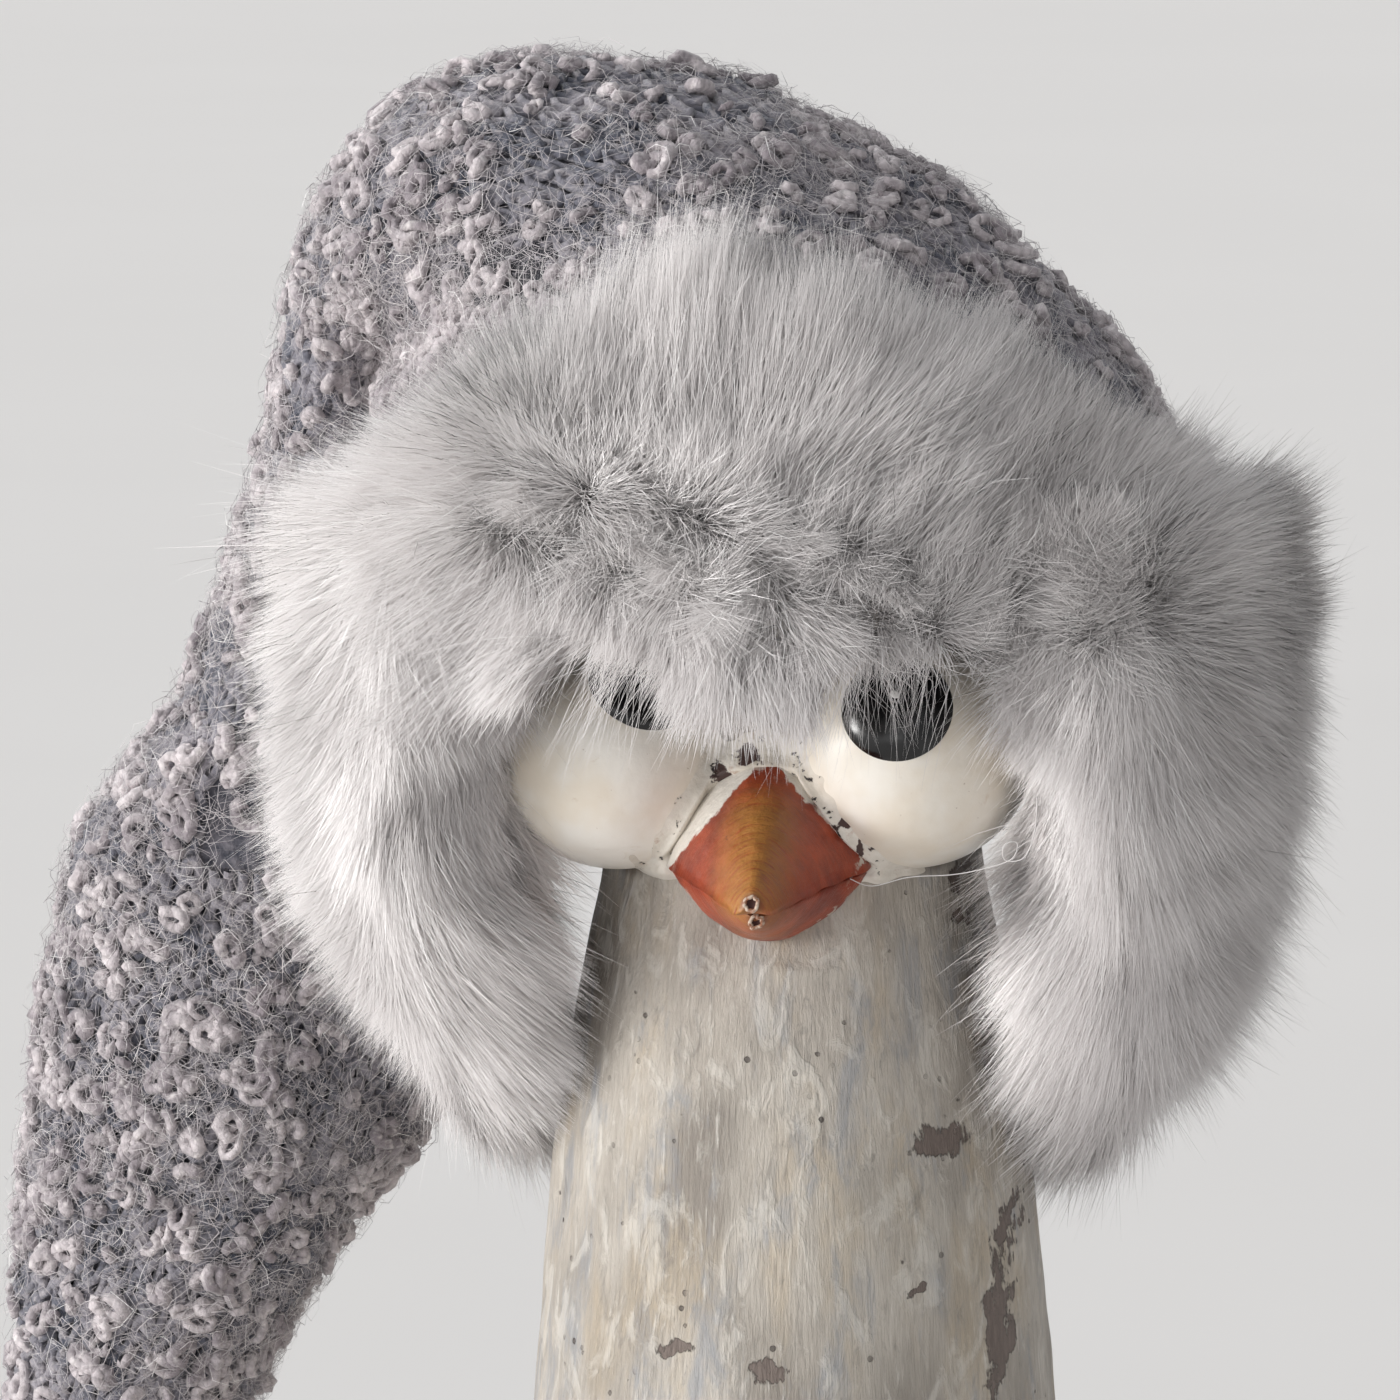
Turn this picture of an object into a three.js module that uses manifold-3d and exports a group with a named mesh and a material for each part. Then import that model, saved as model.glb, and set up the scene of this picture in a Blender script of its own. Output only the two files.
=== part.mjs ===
// A tall painted bird figurine that wears a removable knitted stocking hood.
// The hood has a faux-fur brim with two ear flaps and a long tail that hangs over one side.
// Units are millimetres. +Z is up, the bird faces -Y, and left and right are the viewer's.
// The origin is the centre of the felt disc's lower face, on which the figurine stands.
import * as THREE from 'three';
import { mergeVertices } from 'three/addons/utils/BufferGeometryUtils.js';
import Module from 'manifold-3d';

const wasm = await Module();
wasm.setup();

// Driving dimensions
const GAP = 0.3;                 // air between pieces that touch
const FELT_R = 44;
const FELT_T = 1.6;
const PLINTH_R = 47;
const PLINTH_TOP = 14;
const FOOT_T = 5.2;
const LEG_R = 4.2;
const LEG_X = 14;
const LEG_TOP = 74;
const SCREW_R = 1.8;
const SCREW_HEAD_R = 3.8;
const SCREW_TIP = 36;
const BODY_BASE = 42;
const NECK_Z = 246;              // where the head meets the body
const DOWEL_R = 6;
const DOWEL_HALF = 24;
const HEAD_TOP = 316;
const PUPIL_R = 6.1;
const PUPIL_T = 0.9;
const HEAD_SEGMENTS = 32;
const SHELL_T = 4;               // knitted fabric of the crown, with its seams
const LINING_T = 1.3;
const FUR_T = 4;                 // fur fabric without its pile
const RIM_Z = 286;               // lower rim of the crown over the face and ears
const NAPE_Z = 254;              // lower rim of the crown behind the head
const NAPE_Y = 6;                // the nape panel lies behind this plane
const BAND_RX = 48.5;            // the band's outline from the front is part of an ellipse
const BAND_RZ = 43;
const BAND_MIDDLE_Z = 262;
const BAND_LOW = 271;
const BAND_LOW_X = 27.5;         // half-width of the fringe below the rim

// The fold of the hood's tail turns about this line, parallel to Y
const FOLD = { x: -38, y: 24, z: 309, r: 17.5, half: 21 };

const EYES = {
  left: { x: -17.3, y: -13.2, z: 261.2, r: 12.6, look: [0.34, -0.62, 0.71] },
  right: { x: 14.6, y: -13.4, z: 262.6, r: 13.1, look: [-0.02, -0.9, 0.44] },
};

const group = new THREE.Group();

function finish(color, roughness, metalness = 0) {
  return new THREE.MeshStandardMaterial({ color, roughness, metalness });
}

const paint = () => finish(0xddd6c9, 0.6);
const cream = () => finish(0xe9e0cf, 0.35);
const rust = () => finish(0xa5492b, 0.45);
const knit = () => finish(0x7c797f, 0.95);
const fur = () => finish(0xc6c3c3, 0.9);
const cloth = () => finish(0x58565a, 0.9);
const wadding = () => finish(0xe8e6e0, 1);
const timber = () => finish(0x9b7650, 0.7);

function add(name, geometry, material) {
  const mesh = new THREE.Mesh(geometry, material);
  mesh.name = name;
  group.add(mesh);
  return mesh;
}

// A closed geometry as a solid that can be cut and joined
function toSolid(geometry) {
  const plain = geometry.clone();
  plain.deleteAttribute('normal');
  plain.deleteAttribute('uv');
  const merged = mergeVertices(plain, 1e-4);
  const triVerts = new Uint32Array(merged.index.array);
  const vertProperties = new Float32Array(merged.attributes.position.array);
  return new wasm.Manifold(new wasm.Mesh({ numProp: 3, vertProperties, triVerts }));
}

function toGeometry(solid) {
  const mesh = solid.getMesh();
  const geometry = new THREE.BufferGeometry();
  geometry.setAttribute('position', new THREE.BufferAttribute(new Float32Array(mesh.vertProperties), 3));
  geometry.setIndex(new THREE.BufferAttribute(new Uint32Array(mesh.triVerts), 1));
  geometry.computeVertexNormals();
  return geometry;
}

// The solid of revolution about Z of a profile of [radius, height] pairs
function lathe(profile, segments) {
  const points = profile.map(([r, z]) => new THREE.Vector2(r, z));
  return toSolid(new THREE.LatheGeometry(points, segments).rotateX(Math.PI / 2));
}

function cylinder(radius, low, high, segments = 20) {
  return lathe([[0, low], [radius, low], [radius, high], [0, high]], segments);
}

function box(low, high) {
  const size = high.map((v, k) => v - low[k]);
  const geometry = new THREE.BoxGeometry(...size);
  return toSolid(geometry.translate(...low.map((v, k) => v + size[k] / 2)));
}

function ball({ x, y, z, r }, extra = 0, segments = 22) {
  const geometry = new THREE.SphereGeometry(r + extra, segments, Math.round(segments * 0.6));
  return toSolid(geometry.rotateX(Math.PI / 2).translate(x, y, z));
}

// A closed skin over loops of equally many points, each counterclockwise seen against the way they run
function loft(loops) {
  const count = loops[0].length;
  const positions = loops.flat(2);
  const index = [];
  for (let k = 0; k < loops.length - 1; k += 1) {
    for (let j = 0; j < count; j += 1) {
      const a = k * count + j;
      const b = k * count + (j + 1) % count;
      index.push(a, b, a + count, b, b + count, a + count);
    }
  }
  const ends = [[0, -1], [loops.length - 1, 1]];
  for (const [k, way] of ends) {
    const middle = [0, 1, 2].map((axis) => loops[k].reduce((sum, p) => sum + p[axis], 0) / count);
    const centre = positions.length / 3;
    positions.push(...middle);
    for (let j = 0; j < count; j += 1) {
      const a = k * count + j;
      const b = k * count + (j + 1) % count;
      index.push(...(way > 0 ? [a, b, centre] : [b, a, centre]));
    }
  }
  const geometry = new THREE.BufferGeometry();
  geometry.setAttribute('position', new THREE.Float32BufferAttribute(positions, 3));
  geometry.setIndex(index);
  return toSolid(geometry);
}

// A level ellipse of points around (x, y) at height z
function ellipse(x, y, z, rx, ry, count) {
  return Array.from({ length: count }, (_, k) => {
    const a = (2 * Math.PI * k) / count;
    return [x + rx * Math.cos(a), y + ry * Math.sin(a), z];
  });
}

// Heights and radii of the body, from its rounded underside to the neck
const BODY_OUTLINE = [
  [0, BODY_BASE], [14, BODY_BASE + 1], [22.5, BODY_BASE + 8], [29, 62], [34, 84], [36, 108], [35, 132],
  [31.8, 160], [29, 180], [27.4, 197], [26, 213], [24, 228], [21.6, 240], [20.2, NECK_Z],
];
const HEAD_OUTLINE = [
  [20.2, NECK_Z], [19.4, 254], [19.6, 264], [20.6, 276], [20.6, 288], [18.8, 299], [15, 307.5],
  [9, 313.5], [0, HEAD_TOP],
];

function bodySolid(extra = 0) {
  const profile = BODY_OUTLINE.map(([r, z]) => [r > 0 ? r + extra : 0, z - (r > 0 ? 0 : extra)]);
  return lathe([...profile, [0, NECK_Z]], HEAD_SEGMENTS);
}

function addStand() {
  add('felt_disc', toGeometry(cylinder(FELT_R, 0, FELT_T, 40)), cloth());
  const low = FELT_T + GAP;
  const profile = [[0, low], [PLINTH_R - 1.5, low], [PLINTH_R, low + 1.5], [PLINTH_R, PLINTH_TOP - 3],
    [PLINTH_R - 3, PLINTH_TOP], [0, PLINTH_TOP]];
  let plinth = lathe(profile, 44);
  for (const side of [-1, 1]) {
    const hole = cylinder(SCREW_R + GAP, 0, PLINTH_TOP + 1, 12);
    const sink = cylinder(SCREW_HEAD_R + GAP, 0, low + 3.4, 16);
    plinth = plinth.subtract(hole.add(sink).translate(side * LEG_X, 0, 0));
  }
  add('plinth', toGeometry(plinth), timber());
}

// A webbed foot with three toes, flat on the plinth
function footShape() {
  const toes = [[-13, -27], [0, -34], [13, -27]];
  const shape = new THREE.Shape();
  shape.moveTo(-6, 9);
  shape.quadraticCurveTo(-10, -6, toes[0][0], toes[0][1]);
  shape.quadraticCurveTo(-8, -29, -6, -25);
  shape.quadraticCurveTo(-4, -31, toes[1][0], toes[1][1]);
  shape.quadraticCurveTo(4, -31, 6, -25);
  shape.quadraticCurveTo(8, -29, toes[2][0], toes[2][1]);
  shape.quadraticCurveTo(10, -6, 6, 9);
  shape.quadraticCurveTo(0, 13, -6, 9);
  return shape;
}

function addLegs() {
  for (const [name, side] of [['left', -1], ['right', 1]]) {
    const x = side * LEG_X;
    const low = PLINTH_TOP + GAP;
    const sole = new THREE.ExtrudeGeometry(footShape(), { depth: FOOT_T, bevelEnabled: false, curveSegments: 5 });
    const foot = toSolid(sole.rotateZ(side * 0.22).translate(x, 0, low));
    const socket = cylinder(LEG_R + GAP, low - 1, low + FOOT_T + 1, 20).translate(x, 0, 0);
    add(`foot_${name}`, toGeometry(foot.subtract(socket)), rust());
    const pilot = cylinder(SCREW_R + GAP, low - 1, SCREW_TIP + 1, 12);
    add(`leg_${name}`, toGeometry(cylinder(LEG_R, low, LEG_TOP).subtract(pilot).translate(x, 0, 0)), rust());
    const head = FELT_T + 2 * GAP;
    const screw = lathe([[0, head], [SCREW_HEAD_R, head], [SCREW_R, head + 3], [SCREW_R, SCREW_TIP - 3],
      [0, SCREW_TIP]], 12);
    add(`leg_screw_${name}`, toGeometry(screw.translate(x, 0, 0)), finish(0xb9bbbf, 0.35, 1));
  }
}

function addBody() {
  let body = bodySolid();
  for (const side of [-1, 1]) {
    const bore = cylinder(LEG_R + GAP, BODY_BASE - 2, LEG_TOP + GAP);
    body = body.subtract(bore.translate(side * LEG_X, 0, 0));
  }
  const socket = cylinder(DOWEL_R + GAP, NECK_Z - DOWEL_HALF - GAP, NECK_Z + 1);
  add('body', toGeometry(body.subtract(socket)), paint());
  add('neck_dowel', toGeometry(cylinder(DOWEL_R, NECK_Z - DOWEL_HALF, NECK_Z + DOWEL_HALF)), timber());
}

// Each wing is a leaf that hugs the body's side
function addWings() {
  const leaf = [[182, 0.5], [176, 6], [166, 10], [150, 13], [130, 13.5], [112, 11], [98, 6.5], [90, 0.8]];
  for (const [name, side] of [['left', -1], ['right', 1]]) {
    const loops = leaf.map(([z, half]) => {
      const reach = 31 + 8.4 * Math.sin((Math.PI * (190 - z)) / 118);
      return ellipse(side * reach, 3 + (182 - z) * 0.05, z, 4.6, half, 16);
    });
    add(`wing_${name}`, toGeometry(loft(loops.reverse()).subtract(bodySolid(GAP))), paint());
  }
}

function addBirdTail() {
  const rows = [[56, 50, 6, 2.2], [63, 44, 10, 4], [72, 36, 11, 6], [84, 30, 9, 6], [94, 28, 5, 4]];
  const loops = rows.map(([z, y, rx, ry]) => ellipse(0, y, z, rx, ry, 16));
  add('bird_tail', toGeometry(loft(loops).subtract(bodySolid(GAP))), paint());
}

// A ball about the middle of an eye's pupil, which the pupil lies inside
function pupilRoom(eye) {
  const middle = new THREE.Vector3(...eye.look).setLength(eye.r).add(new THREE.Vector3(eye.x, eye.y, eye.z));
  return { x: middle.x, y: middle.y, z: middle.z, r: PUPIL_R + 0.7 };
}

function addHead() {
  const low = NECK_Z + GAP;
  const profile = HEAD_OUTLINE.map(([r, z]) => [r, Math.max(z, low)]);
  let head = lathe([[0, low], ...profile], HEAD_SEGMENTS);
  head = head.subtract(cylinder(DOWEL_R + GAP, NECK_Z - 1, NECK_Z + DOWEL_HALF + GAP));
  for (const eye of Object.values(EYES)) {
    head = head.subtract(ball(eye, GAP)).subtract(ball(pupilRoom(eye)));
  }
  add('head', toGeometry(head), paint());
}

function addEyes() {
  for (const [name, eye] of Object.entries(EYES)) {
    add(`eye_${name}`, toGeometry(ball(eye)), cream());
    const low = eye.r + GAP;
    const angle = PUPIL_R / eye.r;
    const arc = (r) => Array.from({ length: 4 }, (_, k) => {
      const a = (angle * k) / 3;
      return [r * Math.sin(a), r * Math.cos(a)];
    });
    const lens = lathe([...arc(low), ...arc(low + PUPIL_T).reverse()], 18);
    const geometry = toGeometry(lens);
    const turn = new THREE.Quaternion().setFromUnitVectors(
      new THREE.Vector3(0, 0, 1), new THREE.Vector3(...eye.look).normalize());
    const pupil = add(`pupil_${name}`, geometry, finish(0x0b0b0c, 0.12));
    pupil.quaternion.copy(turn);
    pupil.position.set(eye.x, eye.y, eye.z);
  }
}

// Half of the beak as loops that run from its root inside the head out to the tip
function mandible(stations) {
  return loft(stations.map(([y, half, mouth, crest]) => {
    const arch = [0, 0.3, 0.62, 0.88, 1, 0.88, 0.62, 0.3, 0];
    const over = arch.map((h, k) => [half * (k / 4 - 1), y, mouth + (crest - mouth) * h]);
    return crest > mouth ? over.reverse() : over;
  }));
}

function addBeak() {
  const upper = [[-15, 10.6, 249.9, 263], [-20, 10.6, 249.9, 261.6], [-24, 8.9, 249.6, 259.2],
    [-28, 7, 249.2, 256.6], [-32, 5, 248.7, 254], [-36, 2.9, 248.2, 251.4], [-38.4, 1.1, 247.9, 249.4]];
  const lower = [[-15, 10.2, 249.4, 242.6], [-20, 10.2, 249.4, 242.4], [-24, 8.4, 249.1, 242.8],
    [-28, 6.4, 248.7, 243.7], [-32, 4.4, 248.2, 245], [-35.6, 1.6, 247.6, 246.5]];
  const head = lathe([[0, NECK_Z], ...HEAD_OUTLINE.map(([r, z]) => [r > 0 ? r + GAP : 0, z])], HEAD_SEGMENTS);
  const neck = bodySolid(GAP);
  for (const [name, stations] of [['beak_upper', upper], ['beak_lower', lower]]) {
    let beak = mandible(stations).subtract(head).subtract(neck);
    for (const eye of Object.values(EYES)) {
      beak = beak.subtract(ball(eye, GAP));
    }
    beak = beak.subtract(box([-30, -14, 230], [30, 30, 280]));
    add(name, toGeometry(beak), rust());
  }
}

// Level sections of the crown: height, left edge, right edge, front edge, back edge
const CROWN = [
  [NAPE_Z - 4, -41, 41, -30, 41], [270, -41.5, 42, -31, 42], [285, -42.3, 41.5, -31, 41.6],
  [295, -43, 37, -30, 40.4], [303, -45, 31.5, -27, 38.8], [310, -46.5, 24.5, -22.5, 36],
  [317, -46.5, 15.5, -15.5, 32.5], [323, -44, 5, -8, 28], [327.5, -39, -7, -1, 23.5], [330, -33, -17, 5, 18],
];

function crownSolid(inset, count) {
  return loft(CROWN.map(([z, left, right, front, back], k) => {
    const drop = k > 6 ? inset * 0.8 : 0;
    const rx = Math.max((right - left) / 2 - inset, 1);
    const ry = Math.max((back - front) / 2 - inset, 1);
    return ellipse((left + right) / 2, (front + back) / 2, z - drop, rx, ry, count);
  }));
}

// The rounded fold where the tail turns over, revolved about the tail's own hinge line
function foldSolid(extra) {
  const steps = 10;
  const profile = Array.from({ length: steps + 1 }, (_, k) => {
    const a = (Math.PI * k) / steps - Math.PI / 2;
    const r = k === 0 || k === steps ? 0 : (FOLD.r + extra) * Math.cos(a) ** 0.6;
    return new THREE.Vector2(r, (FOLD.half + extra) * Math.sin(a));
  });
  const geometry = new THREE.LatheGeometry(profile, 28);
  return toSolid(geometry.translate(FOLD.x, FOLD.y, FOLD.z));
}

function addCrown() {
  const skirt = [box([-80, -80, 200], [80, NAPE_Y, RIM_Z]), box([-80, NAPE_Y - 1, 200], [80, 80, NAPE_Z])];
  const trim = (solid) => skirt.reduce((rest, cut) => rest.subtract(cut), solid);
  const beside = box([-80, 0, 200], [-46, 60, FOLD.z - FOLD.r - 2]);
  const shell = crownSolid(0, 36).add(foldSolid(0)).subtract(crownSolid(SHELL_T, 22));
  add('knit_crown', toGeometry(trim(shell).subtract(beside)), knit());
  const outer = crownSolid(SHELL_T + GAP, 22);
  const inner = crownSolid(SHELL_T + GAP + LINING_T, 22);
  add('crown_lining', toGeometry(trim(outer.subtract(inner))), cloth());
  const fill = crownSolid(SHELL_T + LINING_T + 3 * GAP, 20).intersect(box([-60, -60, HEAD_TOP + 1], [60, 60, 340]));
  add('crown_wadding', toGeometry(fill), wadding());
}

// The fur brim over the forehead, with its fringe between the flaps
function addFurBand() {
  const sheet = crownSolid(-GAP - FUR_T, 36).subtract(crownSolid(-GAP, 36));
  const oval = new THREE.CylinderGeometry(1, 1, 90, 48).scale(BAND_RX, 1, BAND_RZ);
  const outline = toSolid(oval.translate(0, 2 - 45, BAND_MIDDLE_Z));
  const over = box([-80, -80, RIM_Z + 1], [80, 2, 320]);
  const fringe = box([-BAND_LOW_X, -80, BAND_LOW], [BAND_LOW_X, -15, RIM_Z + 2]);
  add('fur_band', toGeometry(sheet.intersect(over.add(fringe)).intersect(outline)), fur());
}

// Level stations of a flap: height, outer radius, thickness, and the angles of its front and back
// edges in degrees from straight aside
const FLAP = [
  [285, 45.5, 8, 35, -2], [277, 46, 8.4, 36, -3], [266, 46, 8.6, 36, -4], [254, 44.6, 8, 31, -5],
  [243, 42, 7, 24, -6], [234, 38.6, 6, 15, -7], [227, 35.5, 5, 8, -8], [222.5, 33, 3.5, 4, -7],
];
const LINED = 6;                 // stations, from the top, that the lining covers

function flapLoop(z, radius, thick, front, back, side) {
  const steps = 8;
  const arc = (r) => Array.from({ length: steps + 1 }, (_, k) => {
    const a = THREE.MathUtils.degToRad(back + ((front - back) * k) / steps);
    return [side * r * Math.cos(a), -r * Math.sin(a), z];
  });
  const loop = [...arc(radius), ...arc(radius - thick).reverse()];
  return side < 0 ? loop : loop.reverse();
}

function addFlaps() {
  for (const [name, side] of [['left', -1], ['right', 1]]) {
    const pad = FLAP.map((row) => flapLoop(...row, side)).reverse();
    add(`flap_${name}_fur`, toGeometry(loft(pad)), fur());
    const lining = FLAP.slice(0, LINED).map(([z, radius, thick, front, back]) => (
      flapLoop(z, radius - thick - GAP, 1.2, front, back, side)));
    add(`flap_${name}_lining`, toGeometry(loft(lining.reverse())), cloth());
  }
}

// Level sections of the tail: height, outer edge, inner edge, half-depth
const TAIL = [
  [154, -84.5, -80.5, 2.4], [160, -87, -77, 6], [170, -88.5, -72, 8.6], [184, -89, -65, 11],
  [197, -88.4, -58.5, 12.8], [208, -87.4, -51.5, 14.8], [217, -86, -45, 16.4], [231, -83.6, -43.5, 17],
  [244, -81.5, -44.5, 17.4], [252, -77, -45.2, 17.6], [260, -70, -45.6, 17.8], [272, -65.4, -46, 18],
  [286, -61, -46, 18], [296, -58, -45, 17.6], [304, -54, -42, 16],
];

function tailSolid(inset, rows, count) {
  return loft(rows.map(([z, outer, inner, depth]) => (
    ellipse((outer + inner) / 2, FOLD.y, z, (inner - outer) / 2 - inset, depth - inset, count))));
}

function addTail() {
  const fold = foldSolid(0.5);
  const core = TAIL.slice(2, -2);
  const hollow = tailSolid(SHELL_T, core, 16);
  const mouth = tailSolid(SHELL_T + 1.4, TAIL.slice(-4), 16);
  const sleeve = tailSolid(0, TAIL, 26).subtract(fold).subtract(hollow.add(mouth));
  add('tail_sleeve', toGeometry(sleeve), knit());
  add('tail_wadding', toGeometry(tailSolid(SHELL_T + GAP, core, 16).subtract(fold)), wadding());
  const tassel = [[132, 5], [138, 6], [146, 4.6], [151.5, 2.2], [TAIL[0][0] - GAP, 1.6]];
  add('tail_tassel', toGeometry(loft(tassel.map(([z, r]) => ellipse(-82.5, FOLD.y, z, r, r, 12)))), knit());
}

addStand();
addLegs();
addBody();
addWings();
addBirdTail();
addHead();
addEyes();
addBeak();
addCrown();
addFurBand();
addFlaps();
addTail();

export default group;
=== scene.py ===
"""Looks of the bird figurine in its knitted, fur-trimmed hood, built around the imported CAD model."""

import math

import bpy
import numpy as np
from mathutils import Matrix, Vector


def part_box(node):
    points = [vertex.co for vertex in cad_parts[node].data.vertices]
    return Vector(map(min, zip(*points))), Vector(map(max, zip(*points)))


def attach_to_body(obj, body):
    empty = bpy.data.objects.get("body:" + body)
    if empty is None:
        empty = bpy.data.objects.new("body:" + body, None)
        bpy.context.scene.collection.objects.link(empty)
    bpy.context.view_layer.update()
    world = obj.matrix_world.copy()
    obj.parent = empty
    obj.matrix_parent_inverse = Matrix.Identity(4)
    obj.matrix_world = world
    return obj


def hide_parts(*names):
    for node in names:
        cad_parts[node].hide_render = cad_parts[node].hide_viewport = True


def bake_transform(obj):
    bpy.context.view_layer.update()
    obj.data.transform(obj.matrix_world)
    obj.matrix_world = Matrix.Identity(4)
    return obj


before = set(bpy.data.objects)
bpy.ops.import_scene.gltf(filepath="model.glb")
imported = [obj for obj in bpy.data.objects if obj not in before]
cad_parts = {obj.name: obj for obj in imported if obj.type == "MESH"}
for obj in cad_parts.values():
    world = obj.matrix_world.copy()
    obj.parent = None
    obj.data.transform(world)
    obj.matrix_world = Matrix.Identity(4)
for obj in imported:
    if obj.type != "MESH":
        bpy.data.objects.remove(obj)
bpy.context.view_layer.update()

MM = 0.001
# Name of the map that the strand and yarn materials read
STRAND_MAP = "OFBake"


# ---------------------------------------------------------------- helpers

def mix(a, b, t):
    return a + (b - a) * t


def smoothstep(low, high, x):
    t = np.clip((x - low) / (high - low), 0.0, 1.0)
    return t * t * (3 - 2 * t)


def unit(v):
    return v / np.maximum(np.linalg.norm(v, axis=-1, keepdims=True), 1e-9)


def around(count):
    """Angles of count points spaced evenly round a circle."""
    return np.arange(count) * 2 * np.pi / count


def spline(rows, t):
    """Catmull-Rom through rows of numbers; t runs from 0 to the last row's index."""
    rows = np.asarray(rows, float)
    t = np.clip(np.asarray(t, float), 0, len(rows) - 1)
    k = np.minimum(t.astype(int), len(rows) - 2)
    f = (t - k)[..., None]
    before, after = np.maximum(k - 1, 0), np.minimum(k + 2, len(rows) - 1)
    p0, p1, p2, p3 = rows[before], rows[k], rows[k + 1], rows[after]
    return 0.5 * (2 * p1 + (p2 - p0) * f + (2 * p0 - 5 * p1 + 4 * p2 - p3) * f**2
                  + (3 * p1 - p0 - 3 * p2 + p3) * f**3)


class Waves:
    """Smooth noise made of a few random sine waves, with its slope."""

    def __init__(self, seed, length, count=9):
        rng = np.random.default_rng(seed)
        way = unit(rng.normal(size=(count, 3)))
        self.k = way * (2 * np.pi / (length * rng.uniform(0.7, 1.5, (count, 1))))
        self.phase = rng.uniform(0, 2 * np.pi, count)

    def at(self, p):
        return np.sin(p @ self.k.T + self.phase).sum(-1) / math.sqrt(len(self.phase))

    def slope(self, p):
        return np.cos(p @ self.k.T + self.phase) @ unit(self.k) / math.sqrt(len(self.phase))


def mesh_object(name, points, faces, material, uv=None):
    """A smooth mesh from points in millimetres and faces that all have equally many corners."""
    mesh = bpy.data.meshes.new(name)
    corners = faces.shape[1]
    mesh.vertices.add(len(points))
    mesh.vertices.foreach_set("co", (np.asarray(points) * MM).astype(np.float32).ravel())
    mesh.loops.add(faces.size)
    mesh.loops.foreach_set("vertex_index", faces.astype(np.int32).ravel())
    mesh.polygons.add(len(faces))
    mesh.polygons.foreach_set("loop_start", np.arange(0, faces.size, corners, dtype=np.int32))
    mesh.polygons.foreach_set("use_smooth", np.full(len(faces), True))
    mesh.materials.append(material)
    if uv is not None:
        layer = mesh.uv_layers.new(name=STRAND_MAP)
        layer.data.foreach_set("uv", uv[faces.ravel()].astype(np.float32).ravel())
    mesh.update(calc_edges=True)
    obj = bpy.data.objects.new(name, mesh)
    bpy.context.scene.collection.objects.link(obj)
    return obj


def attach(piece, body, slot, *nodes):
    """Makes a piece ride on a body and puts it in the place of CAD nodes; slot is not used."""
    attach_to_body(piece, body)
    if nodes:
        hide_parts(*nodes)
    return piece


def node_mesh(name):
    """Vertices in millimetres and triangles of a CAD node."""
    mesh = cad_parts[name].data
    mesh.calc_loop_triangles()
    points = np.zeros(len(mesh.vertices) * 3)
    mesh.vertices.foreach_get("co", points)
    corners = np.zeros(len(mesh.loop_triangles) * 3, dtype=np.int32)
    mesh.loop_triangles.foreach_get("vertices", corners)
    world = np.array(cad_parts[name].matrix_world)
    points = points.reshape(-1, 3) @ world[:3, :3].T + world[:3, 3]
    return points / MM, corners.reshape(-1, 3)


def grid_faces(rows, columns, wrap=True):
    """Quads of a grid of points stored row by row; wrap closes each row on itself."""
    r = np.arange(rows - 1)[:, None]
    c = np.arange(columns if wrap else columns - 1)[None, :]
    n = (c + 1) % columns
    a, b = r * columns + c, r * columns + n
    return np.stack([a, b, b + columns, a + columns], -1).reshape(-1, 4)


def split_long(points, triangles, longest):
    """The same surface with the edges longer than longest split, round after round."""
    points, back = np.unique(np.round(points, 4), axis=0, return_inverse=True)
    triangles = back.reshape(-1)[triangles]
    for _ in range(9):
        ends = np.roll(triangles, -1, axis=1)
        marked = np.linalg.norm(points[triangles] - points[ends], axis=-1) > longest
        if not marked.any():
            break
        count = len(points)
        keys = np.minimum(triangles, ends) * count + np.maximum(triangles, ends)
        found, index = np.unique(keys[marked], return_inverse=True)
        middle = np.full(triangles.shape, -1)
        middle[marked] = count + index.reshape(-1)
        points = np.concatenate([points, (points[found // count] + points[found % count]) / 2])
        number = marked.sum(1)
        turn = np.where(number == 2, (marked.argmin(1) + 1) % 3, 0)
        turn = np.where(number == 1, marked.argmax(1), turn)
        order = (turn[:, None] + np.arange(3)) % 3
        a, b, c = np.take_along_axis(triangles, order, 1).T
        m, n, o = np.take_along_axis(middle, order, 1).T
        made = {0: [(a, b, c)], 1: [(a, m, c), (m, b, c)], 2: [(m, b, n), (a, m, n), (a, n, c)],
                3: [(a, m, o), (m, b, n), (o, n, c), (m, n, o)]}
        triangles = np.concatenate([np.stack(t, -1)[number == k] for k in made for t in made[k]])
    return points, triangles


def relaxed(points, triangles, rounds):
    """Points moved toward the middle of their neighbours, which rounds the edges off."""
    ends = np.roll(triangles, -1, axis=1)
    a = np.concatenate([triangles.ravel(), ends.ravel()])
    b = np.concatenate([ends.ravel(), triangles.ravel()])
    share = np.bincount(a, minlength=len(points))[:, None]
    for _ in range(rounds):
        middle = np.stack([np.bincount(a, points[b, k], len(points)) for k in range(3)], -1) / share
        points = mix(points, middle, 0.6)
    return points


def point_normals(points, triangles):
    a, b, c = (points[triangles[:, k]] for k in range(3))
    cross = np.cross(b - a, c - a)
    return unit(np.stack([sum(np.bincount(triangles[:, j], cross[:, k], len(points)) for j in range(3))
                          for k in range(3)], -1))


def shaped_copy(node, name, material, body, slot_name, longest=1.6, rounds=4, raised=None, moved=None):
    """A rounded copy of a CAD node that takes its place, raised by raised(points) millimetres."""
    points, triangles = split_long(*node_mesh(node), longest)
    points = relaxed(points, triangles, rounds)
    if raised is not None:
        points = points + point_normals(points, triangles) * raised(points)[:, None]
    if moved is not None:
        points = moved(points)
    return attach(mesh_object(name, points, triangles, material), body, slot_name, node)


# ---------------------------------------------------------------- materials

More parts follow.
